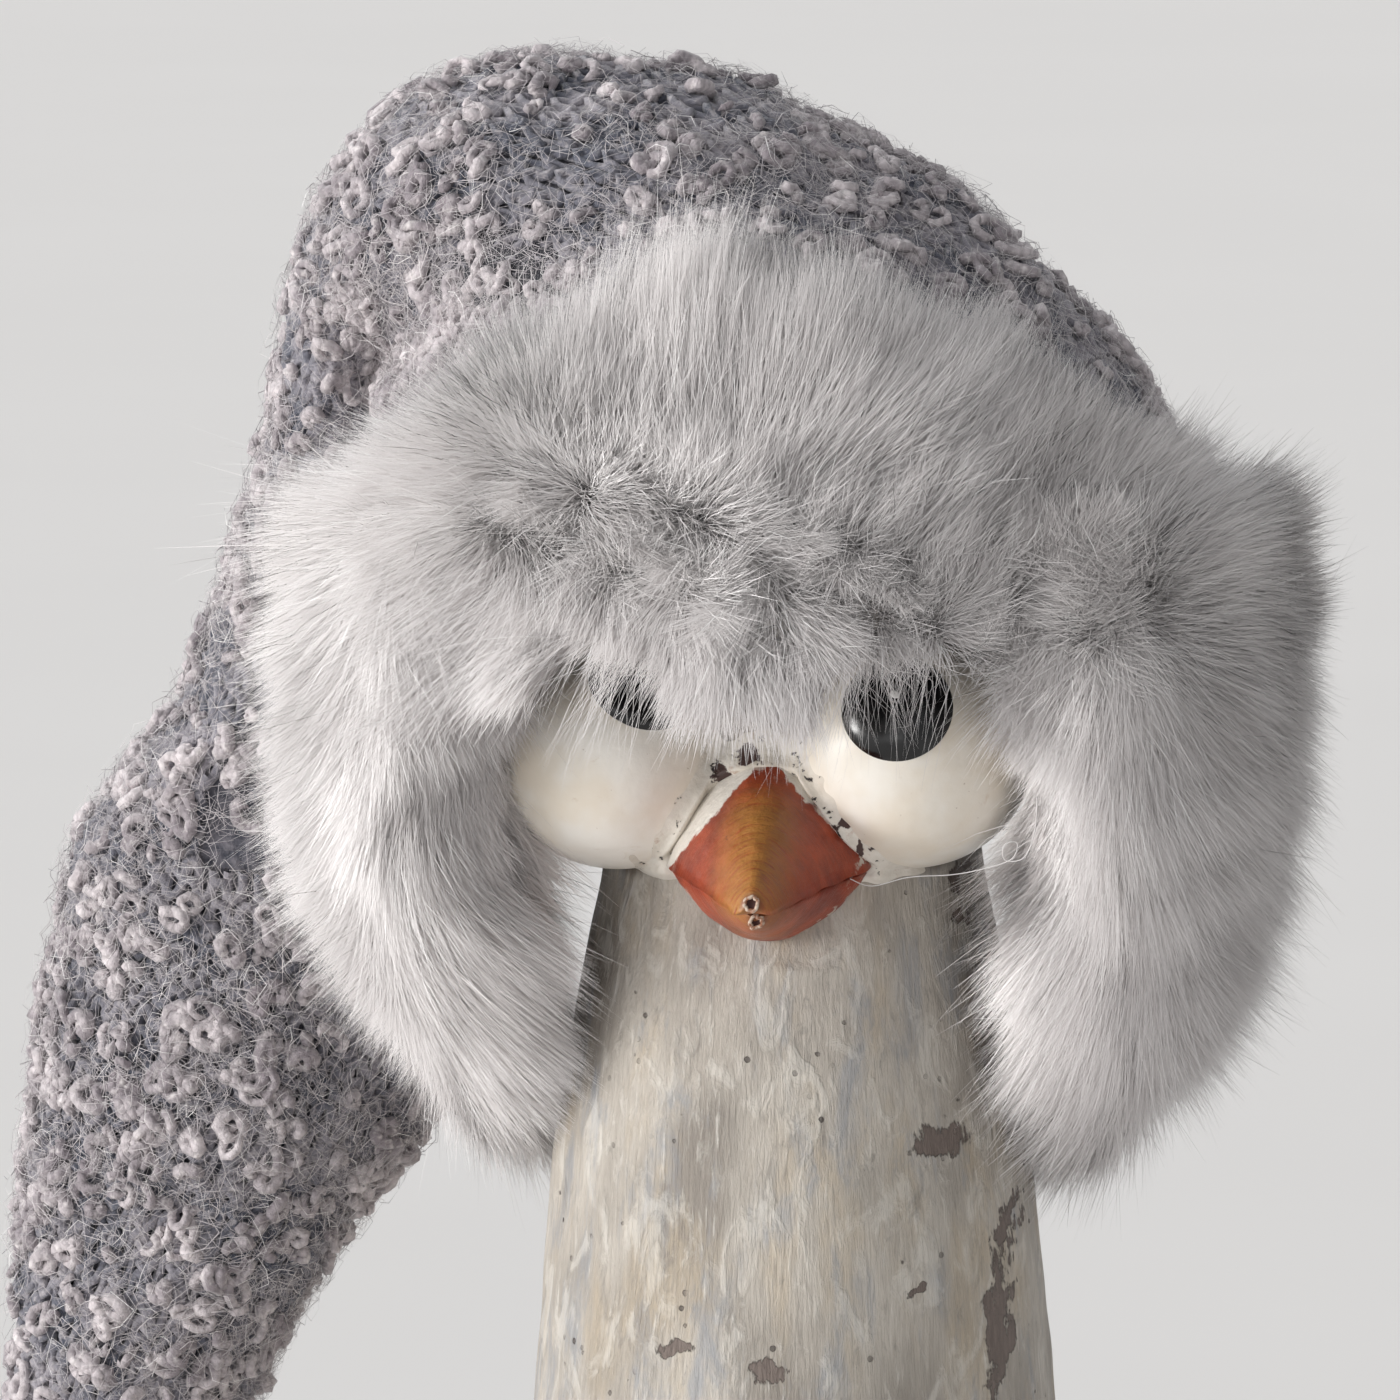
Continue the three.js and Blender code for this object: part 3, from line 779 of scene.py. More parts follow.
def tubes(path, normals, radius, sides):
    """Points, quads and map of tubes along paths (path, step, xyz)."""
    count, steps = path.shape[:2]
    tangent = unit(np.gradient(path, axis=1))
    across = unit(np.cross(tangent, normals))
    upward = np.cross(across, tangent)
    angle = around(sides)
    ring = across[:, :, None, :] * np.cos(angle)[:, None] + upward[:, :, None, :] * np.sin(angle)[:, None]
    points = path[:, :, None, :] + ring * radius[:, :, None, None]
    quads = grid_faces(steps, sides)
    faces = (quads[None] + np.arange(count)[:, None, None] * steps * sides).reshape(-1, 4)
    uv = np.empty((count, steps, sides, 2))
    uv[..., 0] = np.linspace(0.01, 0.99, steps)[None, :, None]
    uv[..., 1] = (np.arange(count)[:, None, None] + (np.arange(sides) + 0.5) / sides) / count
    return points.reshape(-1, 3), faces, uv.reshape(-1, 2)


def join(parts):
    """One set of points, faces and map from several."""
    points, faces, maps, base = [], [], [], 0
    for k, (p, f, uv) in enumerate(parts):
        points.append(p)
        faces.append(f + base)
        maps.append((uv + [0, k]) / [1, len(parts)])
        base += len(p)
    return np.concatenate(points), np.concatenate(faces), np.concatenate(maps)


def stitch_rows(stations, girth):
    """Rows of interlocked knit stitches, one wavy yarn round the hood for each row."""
    rows = []
    gap = np.gradient(stations)
    for k, s in enumerate(stations):
        wales = max(int(girth[k] / WALE), 5)
        t = np.linspace(0, wales * 2 * np.pi, wales * 9 + 1)
        phi = (t + 0.62 * np.sin(2 * t)) / wales
        reach = s + gap[k] * 0.92 * np.cos(t)
        p, n = hood_point(reach, phi, 0.35 + 0.42 * np.cos(2 * t))
        if cut_away(p).all():
            continue
        keep = ~cut_away(p)
        for run in np.split(np.arange(len(p)), np.flatnonzero(np.diff(keep.astype(int))) + 1):
            if keep[run[0]] and len(run) > 6:
                rows.append(tubes(p[None, run], n[None, run], np.full((1, len(run)), YARN_R), 5))
    return join(rows)


def curl_paths(stations, girth, count, rng, size, stand):
    """Small loops of yarn that stand out of the knit."""
    share = girth / girth.sum()
    k = rng.choice(len(stations), count, p=share)
    s = stations[k] + rng.uniform(-0.5, 0.5, count) * np.gradient(stations)[k]
    phi = rng.uniform(0, 2 * np.pi, count)
    p, n = hood_point(s, phi)
    patch = LUMPS.at(p * 0.5) + 0.8 * WRINKLES.at(p * 0.7)
    keep = ~cut_away(p) & (rng.random(count) < smoothstep(-1.6, 0.5, patch) * 0.7 + 0.3)
    p, n = p[keep], n[keep]
    count = len(p)
    side = unit(np.cross(n, rng.normal(size=(count, 3))))
    other = np.cross(n, side)
    steps = 13
    turn = np.linspace(0, 1, steps)[None, :] * rng.uniform(4.4, 8.6, (count, 1))
    turn = turn + rng.uniform(0, 6, (count, 1))
    r = rng.uniform(*size, (count, 1)) * (1 + 0.25 * np.sin(turn * 1.7 + rng.uniform(0, 6, (count, 1))))
    flat = rng.uniform(0.45, 1.0, (count, 1))
    tilt = rng.uniform(0.2, 1.0, (count, 1))
    height = stand + r * tilt * 0.55 * np.sin(turn)
    arch = np.sin(np.linspace(0, np.pi, steps))[None, :] * 0.6
    path = (p[:, None, :] + side[:, None, :] * (r * np.cos(turn))[..., None]
            + other[:, None, :] * (r * flat * np.sin(turn))[..., None]
            + n[:, None, :] * (height + arch)[..., None])
    drift = np.cumsum(rng.normal(0, 0.16, (count, steps, 3)), axis=1)
    path += drift - drift.mean(1, keepdims=True)
    return path, np.repeat(n[:, None, :], steps, 1), count, steps


def yarn_look(name, dark, light, speck, twists):
    """Yarn whose colour drifts from dark to light, with specks, and stripes of painted shade and light along
    each strand for its twist.
    """
    look = Look(name, 0.9, Sheen_Weight=0.35, Sheen_Roughness=0.5)
    colour = look.tones(look.noise(7.0, 3.0), 0.35, 0.68, dark, light)
    colour = look.over(colour, look.noise(1.1, 2.0), 0.52, 0.72, speck, 0.6)
    # The ply's twist as stripes of painted shade and light along the strand
    ply = look.math("SINE", look.math("MULTIPLY", look.strand_map()[0], twists * 2 * math.pi))
    shade = look.steps(ply, -1.0, 1.0, 0.84, 1.04)
    look.set("Base Color", look.blend(1.0, colour, shade, "MULTIPLY"))
    look.bump(look.noise(0.45, 3.0), 0.35, 0.8)
    return look.material


def add_cloth_under_knit():
    """The dense ground of the knit, seen between the stitches."""
    look = Look("knit_ground", 0.95)
    tone = look.noise(1.3, 4.0)
    look.set("Base Color", look.tones(tone, 0.3, 0.7, (68, 70, 80), (124, 121, 128)))
    look.bump(tone, 0.6)
    columns = 120
    ranges = {"crown": (0.0, FOLD_START), "tail": (FOLD_START, len(HOOD) - 1.0)}
    made = {}
    for part, (low, high) in ranges.items():
        s = np.linspace(low, high, 150)
        phi = around(columns)
        p, _ = hood_point(*np.meshgrid(s, phi, indexing="ij"), raise_by=np.float64(-0.35))
        p = p.reshape(-1, 3)
        faces = grid_faces(len(s), columns)
        faces = faces[~cut_away(p[faces].mean(1))]
        made[part] = mesh_object(f"knit_ground_{part}", p, faces, look.material)
    return made


def crosses_fold(piece):
    """Bakes the piece's place into its mesh, which already bends from the crown to the tail over the fold."""
    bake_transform(piece)


# How many loops and how many fine fibres stand out of each part's knit
CURLS = {"crown": (2350, 23500), "tail": (2050, 20000)}


def add_hood():
    rng = np.random.default_rng(12)
    stations, girth = hood_rows()
    made = add_cloth_under_knit()
    yarn = yarn_look("boucle_yarn", (90, 93, 106), (164, 159, 166), (202, 195, 197), 420)
    curl = yarn_look("boucle_curl", (150, 141, 146), (220, 211, 213), (230, 223, 222), 9)
    haze = strand_look("boucle_haze", (182, 175, 177), (232, 225, 224), (154, 149, 154), 0.7)
    is_tail = stations >= FOLD_START
    share = 1.0
    for part, mask in (("crown", ~is_tail), ("tail", is_tail)):
        curls, fibres = CURLS[part]
        s, g = stations[mask], girth[mask]
        points, faces, uv = stitch_rows(s, g)
        pieces = [made[part], mesh_object(f"stitches_{part}", points, faces, yarn, uv)]
        path, normals, count, steps = curl_paths(s, g, int(curls * share), rng, (0.6, 1.45), 1.0)
        closed = np.clip(np.sin(np.linspace(0, np.pi, steps)) * 2.2, 0.06, 1.0)
        thick = rng.uniform(0.46, 0.84, (count, 1)) * closed[None, :]
        points, faces, uv = tubes(path, normals, thick, 5)
        pieces.append(mesh_object(f"curls_{part}", points, faces, curl, uv))
        path, normals, count, steps = curl_paths(s, g, int(fibres * share), rng, (0.8, 2.6), 1.5)
        # Tones above GLINT_TONE give some fibres near-white tips, painted highlights
        tone = rng.uniform(0.25, 0.95, count)
        width = rng.uniform(0.04, 0.09, count)
        pieces.append(ribbons(f"haze_{part}", path[:, ::2], normals[:, 0], width, tone, haze, rng))
        for piece in pieces:
            if part == "tail":
                crosses_fold(piece)
            else:
                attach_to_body(piece, "hood")
    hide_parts("knit_crown")
    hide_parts("tail_sleeve")


# ---------------------------------------------------------------- painted figure

# Radius and height of the body and head, which are one under the paint
FIGURE = [[0.01, 42], [8, 42.2], [15, 43.5], [22.5, 50], [29, 62], [34, 84], [36, 108], [35, 132],
          [31.8, 160], [29, 180], [27.4, 197], [26, 213], [24, 228], [21.8, 240], [20.3, 248],
          [19.8, 256], [19.8, 266], [20.6, 276], [20.6, 288], [18.8, 299], [15, 307.5], [9, 313.5],
          [0.01, 316]]
# Chips through the paint on the front: x, height, half-width and half-height
CHIPS = [[18.2, 220.6, 2.7, 1.5], [24.0, 199.5, 0.95, 8.5], [24.6, 210.5, 0.8, 2.6], [23.0, 228.5, 0.8, 2.2],
         [18.6, 247.5, 0.6, 1.5], [18.8, 243.6, 0.8, 0.9], [16.6, 204.9, 0.75, 0.6], [-8.9, 199.3, 1.7, 0.8],
         [0.7, 196.5, 1.3, 1.3], [21.8, 237.5, 0.5, 1.8], [22.4, 233.6, 0.5, 1.5], [-14.5, 172, 2.4, 1.4],
         [9.0, 158, 1.1, 4.2], [-22.0, 140, 1.2, 5.0], [16.0, 120, 2.6, 1.8]]
# Middle and radius of each eye
EYES = {"left": (np.array([-17.3, -13.2, 261.2]), 12.6), "right": (np.array([14.6, -13.4, 262.6]), 13.1)}
PUPIL_R = 6.1
GLINT_R = 0.52


def pupil_middle(side):
    return sum(np.array(corner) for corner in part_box(f"pupil_{side}")) / 2 / MM


def figure_radius(z):
    rows = np.array(FIGURE)
    fine = spline(rows, np.linspace(0, len(rows) - 1, 600))
    return np.interp(z, fine[:, 1], fine[:, 0])


CHIP_DRIFT = 4.5                       # how far noise moves the chips' edges, in millimetres
CHIP_DEPTH = 14                        # how far behind the surface a chip's field still counts


def chip_mask(look, chips, ragged):
    """1 inside any of the chips, whose edges are ragged."""
    found = None
    drift = look.node("ShaderNodeTexNoise", {"Vector": look.where, "Scale": 1000 / 3.2, "Detail": 3.0}, out=1)
    drift = look.vectors("SUBTRACT", drift, (0.5, 0.5, 0.5))
    drift = look.vectors("MULTIPLY", drift, (CHIP_DRIFT * MM,) * 3)
    drifted = look.vectors("ADD", look.where, drift)
    for x, z, wide, tall in chips:
        y = -math.sqrt(max(float(figure_radius(z)) ** 2 - x * x, 0.0))
        scale = (1 / (wide * MM), 1 / (CHIP_DEPTH * MM), 1 / (tall * MM))
        offset = tuple(-c * MM * k for c, k in zip((x, y, z), scale))
        moved = look.node("ShaderNodeMapping", {"Vector": drifted, "Scale": scale, "Location": offset})
        far = look.vectors("LENGTH", moved, out=1)
        found = far if found is None else look.math("MINIMUM", found, far)
    edge = look.math("ADD", found, look.math("MULTIPLY", ragged, 1.7))
    return look.steps(edge, 1.95, 1.72)


# Layers of the paint from the first to the last. Noise: size, detail, roughness, squeeze, turn, warp.
# Cover: where it starts, where it is full, how much it hides, its colour.
PAINT = {
    "warm": ((12, 4.0, 0.6, (1.8, 1.8, 0.6), (0.2, 0.1, 0), 0.0), (0.48, 0.70, 0.60, (194, 177, 152))),
    "strokes": ((1.3, 5.0, 0.72, (3.0, 3.0, 0.2), (0, 0.55, 0), 0.4), (0.42, 0.70, 0.55, (166, 157, 147))),
    "upright": ((1.8, 5.0, 0.7, (2.4, 2.4, 0.22), (0, 0, 0), 0.3), (0.56, 0.74, 0.50, (242, 238, 230))),
    "blue": ((7, 5.0, 0.68, (1.5, 1.5, 0.45), (0, 0, 0), 0.4), (0.50, 0.70, 0.65, (150, 154, 162))),
    "grey": ((3.2, 5.0, 0.72, (1.4, 1.4, 0.5), (0.1, 0.3, 0), 0.8), (0.55, 0.72, 0.60, (138, 131, 124))),
    "dabs": ((4.5, 5.0, 0.6, (1.3, 1.3, 0.6), (0, 0, 0), 0.9), (0.50, 0.66, 0.40, (236, 231, 222))),
}


def paint_look():
    """Brushed cream paint over grey-blue and brown, chipped and rubbed through, darker brown round the eyes:
    partly grime, partly painted shade.
    """
    look = Look("distressed_paint", 0.55, Specular_IOR_Level=0.4)
    cloudy = look.noise(22, 3.0, vector=look.stretched(1.6, 1.6, 0.7))
    colour = look.tones(cloudy, 0.35, 0.65, (148, 140, 131), (203, 195, 184))
    fields = {}
    for name, ((size, detail, rough, squeeze, turn, warp), (low, high, most, tint)) in PAINT.items():
        fields[name] = look.noise(size, detail, rough, look.stretched(*squeeze, turn), warp)
        colour = look.over(colour, fields[name], low, high, tint, most)
    speck = look.node("ShaderNodeTexVoronoi", {"Vector": look.where, "Scale": 1000 / 2.1}, feature="F1")
    speck = look.total((speck, 1.0), (look.noise(0.6, 2.0), 0.14))
    specks = look.math("MULTIPLY", look.steps(speck, 0.24, 0.2), look.steps(look.noise(9, 3.0), 0.54, 0.64))
    colour = look.blend(look.math("MULTIPLY", specks, 0.85), colour, linear(84, 76, 71))
    ragged = look.noise(0.9, 4.0, 0.7, look.stretched(2.2, 2.2, 0.7))
    worn_through = look.noise(15, 6.0, 0.62, look.stretched(1.5, 1.5, 0.5), warp=0.5)
    chipped = look.math("MAXIMUM", chip_mask(look, CHIPS, ragged), look.steps(worn_through, 0.70, 0.715))
    bare = look.noise(1.2, 4.0, 0.65, look.stretched(2.4, 2.4, 0.5))
    colour = look.blend(chipped, colour, look.blend(bare, linear(92, 80, 74), linear(146, 132, 124)))
    # Darker brown where the eyes meet the head: partly grime in the creases, partly painted shade for their
    # occlusion
    creases = [look.steps(look.far_from(centre), (radius - 0.3) * MM, (radius + 1.6) * MM, 1.0, 0.0)
               for centre, radius in EYES.values()]
    crease_grime_and_shade = look.math("MULTIPLY", look.math("MAXIMUM", *creases),
                      look.steps(look.noise(2.4, 3.0), 0.3, 0.6, 0.45, 1.0))
    look.set("Base Color", look.blend(crease_grime_and_shade, colour, linear(84, 66, 54)))
    look.set("Roughness", look.steps(fields["strokes"], 0.3, 0.7, 0.46, 0.64))
    raised = look.steps(fields["dabs"], 0.5, 0.66)
    look.bump(look.total((fields["strokes"], 0.5), (cloudy, 0.4), (fields["upright"], 0.4),
                         (raised, 0.22), (chipped, -0.7), (specks, -0.5)), 0.6)
    return look.material


BRUSH = Waves(31, 7.0, 10)
DENTS = Waves(32, 30.0, 8)
RIDGES = Waves(33, 4.0, 12)
HEAD_MIDDLE = np.array([0, 6.0, 272.0])


def add_figure(paint):
    """The body and head as one lathed form with hand-made unevenness, pushed in behind the pupils."""
    rows = np.concatenate([np.linspace(42, 190, 84), np.linspace(190.5, 262, 140), np.linspace(263, 316, 46)])
    columns = 300
    z, a = np.meshgrid(rows, around(columns), indexing="ij")
    r = figure_radius(z)
    p = np.stack([r * np.cos(a), r * np.sin(a), z], -1)
    bumps = 0.10 * BRUSH.at(p * [1, 1, 0.45]) + 0.22 * DENTS.at(p) + 0.045 * RIDGES.at(p * [1, 1, 0.6])
    lip = np.exp(-((z - 239.5 - 0.5 * np.cos(a * 3)) / 0.7) ** 2) * np.exp(-((a - 4.88) / 0.22) ** 2)
    out = np.stack([np.cos(a), np.sin(a), 0 * a], -1)
    p = p + out * ((bumps + 0.35 * lip) * smoothstep(0, 6, r))[..., None]
    for side in EYES:
        middle = pupil_middle(side)
        far = np.linalg.norm(p - middle, axis=-1)
        p = p + unit(HEAD_MIDDLE - middle) * (4.5 * smoothstep(9.5, 5.5, far))[..., None]
    body = mesh_object("painted_figure", p.reshape(-1, 3), grid_faces(len(rows), columns), paint)
    attach(body, "figure", "white_paint", "body", "head")


def sphere_grid(centre, radius, rows, columns, bumps):
    """A ball of rows and columns, its surface raised by bumps(direction) millimetres."""
    v, u = np.meshgrid(np.linspace(0.004, np.pi - 0.004, rows), around(columns), indexing="ij")
    way = np.stack([np.sin(v) * np.cos(u), np.sin(v) * np.sin(u), -np.cos(v)], -1)
    p = centre + way * (radius + bumps(way))[..., None]
    return p.reshape(-1, 3), grid_faces(rows, columns)


def eye_look():
    look = Look("ivory_gloss", 0.4, Coat_Weight=0.2, Coat_Roughness=0.35)
    cloudy = look.noise(9, 3.0)
    colour = look.tones(cloudy, 0.35, 0.7, (250, 245, 236), (240, 229, 212))
    colour = look.over(colour, look.noise(3.2, 5.0, 0.65, warp=0.5), 0.62, 0.78, (196, 168, 132), 0.5)
    colour = look.over(colour, look.noise(0.7, 2.0), 0.74, 0.8, (150, 118, 86), 0.5)
    look.set("Base Color", colour)
    look.set("Roughness", look.steps(cloudy, 0.3, 0.7, 0.34, 0.5))
    look.bump(look.total((look.noise(5, 2.0), 1.0), (look.noise(1.1, 3.0), 0.15)), 0.25)
    return look.material


def pupil_look():
    look = Look("black_gloss_paint", 0.24, Coat_Weight=0.15, Coat_Roughness=0.2)
    look.set("Base Color", look.tones(look.noise(0.6, 3.0), 0.6, 0.85, (12, 12, 14), (40, 39, 40)))
    look.bump(look.noise(3.0, 2.0), 0.12)
    return look.material


def glint_look():
    look = Look("painted_glint", 0.4)
    look.set("Base Color", look.blend(look.noise(0.4, 2.0), linear(250, 249, 246), linear(224, 222, 218)))
    return look.material


def frame_of(way):
    """Two directions square to a direction and each other."""
    side = unit(np.cross(way, [0.0, 0.0, 1.0]))
    return side, np.cross(side, way)


def cap(centre, way, inner, outer, half, rings, columns, wobble):
    """A shallow disc that lies on a ball, thickest in its middle and rounded off at its rim."""
    side, up = frame_of(way)
    t, a = np.meshgrid(np.linspace(0.02, 1, rings), around(columns), indexing="ij")
    spread = half * t * (1 + wobble * np.sin(a * 2 + 0.7))
    lift = inner + (outer - inner) * np.sqrt(np.clip(1 - t**3.0, 0, 1))
    p = centre + way * (lift * np.cos(spread))[..., None]
    out = side * np.cos(a)[..., None] + up * np.sin(a)[..., None]
    p = p + out * (lift * np.sin(spread))[..., None]
    return p.reshape(-1, 3), grid_faces(rings, columns)


def add_eyes():
    eye, black, white = eye_look(), pupil_look(), glint_look()
    for side, (centre, radius) in EYES.items():
        waves = Waves(41 + len(side), 1.0, 8)
        ball = sphere_grid(centre, radius + 0.05, 90, 120, lambda way: 0.10 * waves.at(way * 0.8))
        attach(mesh_object(f"painted_eye_{side}", *ball, eye), "figure", "cream_gloss", f"eye_{side}")
        way = unit(pupil_middle(side) - centre)
        pupil = cap(centre, way, radius + 0.1, radius + 0.95, PUPIL_R / radius, 14, 72, 0.012)
        attach(mesh_object(f"gloss_pupil_{side}", *pupil, black), "figure", "black_gloss", f"pupil_{side}")
        spot = unit(way + frame_of(way)[1] * 0.06)
        glint = cap(centre, spot, radius + 0.80, radius + 1.15, GLINT_R / radius, 6, 24, 0.12)
        attach(mesh_object(f"glint_{side}", *glint, white), "figure", "cream_gloss")


# The beak's cross-sections from its root to its tip: depth, half-width, mouth height and crest height
UPPER_BEAK = [[-15, 10.8, 249.9, 263.0], [-20, 10.8, 249.9, 261.8], [-24, 9.1, 249.6, 259.4],
              [-28, 7.2, 249.2, 256.8], [-32, 5.1, 248.7, 254.1], [-36, 3.2, 248.1, 251.7],
              [-38.2, 1.8, 247.8, 250.2], [-38.9, 0.05, 248.8, 248.9]]
LOWER_BEAK = [[-15, 10.3, 249.6, 242.6], [-20, 10.3, 249.6, 242.3], [-24, 8.5, 249.3, 242.7],
              [-28, 6.5, 248.9, 243.6], [-32, 4.7, 248.4, 244.7], [-35.6, 2.4, 247.9, 245.9],
              [-37.0, 0.05, 247.2, 247.1]]
BEAK_BEND = 1.0                        # the tip points this far to the right of the middle
PINHOLES = [[1.0, -39.15, 249.0, 0.72], [1.25, -36.9, 246.8, 0.62]]
# The face's white paint runs onto the beak's upper corners, down these slopes from this height
WHITE_SLOPES = [-1.2, 1.0]
WHITE_TOP = 263.1


def beak_look():
    """Rust paint, brushed with gold along the ridge, with the face's white on its upper corners."""
    look = Look("rust_paint_gold_brushed", 0.42, Specular_IOR_Level=0.5, Coat_Weight=0.15, Coat_Roughness=0.3)
    x, y, z = look.split(look.where)
    colour = look.tones(look.noise(5, 4.0, 0.6, warp=0.4), 0.3, 0.7, (176, 74, 40), (128, 48, 30))
    ridge = look.steps(look.math("ABSOLUTE", x), 6.0 * MM, 0.6 * MM)
    front = look.steps(y, -22 * MM, -28 * MM)
    brushed = look.noise(1.0, 5.0, 0.7, look.stretched(0.35, 2.8, 0.35), warp=0.2)
    gold = look.math("MULTIPLY", look.math("MULTIPLY", ridge, front), look.steps(brushed, 0.26, 0.56))
    gold = look.math("MULTIPLY", gold, look.steps(z, 245 * MM, 248.5 * MM, 0.35, 1.0))
    colour = look.blend(look.math("MULTIPLY", gold, 0.9), colour, linear(182, 127, 61))
    colour = look.over(colour, look.noise(1.8, 5.0, 0.7, warp=0.6), 0.62, 0.74, (84, 36, 26), 0.8)
    root = look.steps(y, -23.5 * MM, -20.2 * MM)
    chips = look.math("MULTIPLY", root, look.steps(look.noise(1.7, 4.0, 0.6), 0.56, 0.6))
    colour = look.blend(chips, colour, linear(214, 205, 192))
    left, right = (look.math("MULTIPLY", x, slope) for slope in WHITE_SLOPES)
    corner = look.total((z, 1.0), (look.math("MAXIMUM", left, right), 1.0), (look.noise(1.2, 4.0), 1.6 * MM))
    colour = look.over(colour, corner, (WHITE_TOP - 0.15) * MM, (WHITE_TOP + 0.15) * MM, (236, 229, 219))
    for *point, radius in PINHOLES:
        near = look.far_from(point)
        colour = look.over(colour, near, radius * 2.6 * MM, radius * 1.2 * MM, (96, 44, 28), 0.6)
    look.set("Base Color", colour)
    look.set("Roughness", look.steps(brushed, 0.3, 0.7, 0.32, 0.52))
    look.bump(look.total((brushed, 0.5), (look.noise(1.5, 4.0), 1.0)), 0.3)
    return look.material


def mandible(name, stations, material):
    """Half of the beak: an arched roof over a flat floor, closed at its tip."""
    rows, columns = 70, 56
    t = np.linspace(0, len(stations) - 1, rows)
    y, half, mouth, crest = spline(stations, t).T
    arch = np.linspace(-1, 1, columns // 2)
    roof = (1 - np.abs(arch) ** 1.9) ** 0.85
    floor = arch[::-1][1:-1]
    across = np.concatenate([arch, floor])
    rise = np.concatenate([roof, 0 * floor])
    p = np.stack([half[:, None] * across, np.broadcast_to(y[:, None], (rows, len(across))),
                  mouth[:, None] + (crest - mouth)[:, None] * rise], -1)
    p = p + 0.10 * np.sign(crest - mouth)[:, None, None] * [0, 0, 1] * BRUSH.at(p * 2.2)[..., None]
    p[..., 0] += BEAK_BEND * smoothstep(-22, -38, p[..., 1])
    return mesh_object(name, p.reshape(-1, 3), grid_faces(rows, len(across)), material)


def add_nail_holes():
    """Two small tube ends at the tip of the beak, with pale chipped rims and dark insides of painted shade.
    """
    pale = Look("chipped_rim", 0.6)
    pale.set("Base Color", pale.tones(pale.noise(0.5, 3.0), 0.35, 0.65, (150, 96, 66), (214, 196, 178)))
    # The holes are shallow bowls; their dark inside is painted shade
    dark = Look("hole_shade_inside", 0.8)
    dark.set("Base Color", dark.blend(dark.noise(0.4, 2.0), linear(40, 20, 16), linear(78, 36, 26)))
    turn = np.linspace(0, 2 * np.pi, 41)[None, :]
    wobble = Waves(45, 1.2, 8)
    for k, (x, y, z, radius) in enumerate(PINHOLES):
        ring = np.stack([x + radius * np.cos(turn), y + 0 * turn, z + radius * np.sin(turn)], -1)
        ring = ring + 0.10 * wobble.at(ring * 2)[..., None] * [1, 0.6, 1]
        out = np.broadcast_to([0.0, -1.0, 0.0], ring.shape)
        points, faces, uv = tubes(ring, out, np.full((1, 41), 0.20), 8)
        rim = mesh_object(f"nail_rim_{k + 1}", points, faces, pale.material, uv)
        t, a = np.meshgrid(np.linspace(0.01, 1, 6), around(32), indexing="ij")
        bowl = np.stack([x + radius * t * np.cos(a), y + 0.22 - 0.25 * t**2, z + radius * t * np.sin(a)], -1)
        inside = mesh_object(f"nail_hole_{k + 1}", bowl.reshape(-1, 3), grid_faces(6, 32), dark.material)
        for piece in (rim, inside):
            attach(piece, "figure", "rust_paint")


BEAK_AXIS = 248.4                      # height of the axis of the cone that stands for the beak's front
BRIDGE_SOFT = 1.7                      # how far the filler rounds the creases, in millimetres
BRIDGE_SUNK = 0.45                     # elsewhere it lies this far under the eyes and the beak
BRIDGE_CHIPS = [[-1.6, 262.4, 1.3, 1.0], [-4.8, 259.8, 0.8, 1.6], [8.8, 255.0, 1.3, 0.8],
                [10.4, 253.0, 0.6, 1.2], [-9.8, 250.6, 0.8, 0.9]]


def ball_front(x, z, centre, radius):
    """The y of a ball's front; outside its outline the front falls away."""
    gap = radius**2 - (x - centre[0]) ** 2 - (z - centre[2]) ** 2
    behind = 3 * np.sqrt(np.maximum(-gap, 0))
    return centre[1] + np.where(gap > 0, -np.sqrt(np.maximum(gap, 0)), behind)


def beak_front(x, z):
    """The y of the beak's front, as a cone that is taller above its axis than below."""
    rise = np.where(z > BEAK_AXIS, 14.0, 7.4)
    return -38.6 + 18.6 * np.hypot(x / 10.9, (z - BEAK_AXIS) / rise)


def bridge_look():
    """The paint over the filler between the eyes and the beak, with dark and rusty chips."""
    look = Look("bridge_paint", 0.5, Specular_IOR_Level=0.4)
    colour = look.tones(look.noise(6, 4.0), 0.35, 0.7, (240, 234, 224), (216, 206, 192))
    colour = look.over(colour, look.noise(2.2, 4.0, 0.6, warp=0.5), 0.6, 0.72, (176, 130, 98), 0.5)
    chip = look.noise(1.5, 5.0, 0.65, warp=0.4)
    colour = look.over(colour, chip, 0.62, 0.65, (66, 58, 58))
    marks = chip_mask(look, BRIDGE_CHIPS, look.noise(0.9, 4.0, 0.7))
    colour = look.blend(marks, colour, linear(76, 56, 52))
    look.set("Base Color", colour)
    look.bump(look.math("SUBTRACT", look.noise(1.6, 4.0), look.steps(chip, 0.62, 0.65)), 0.3)
    return look.material


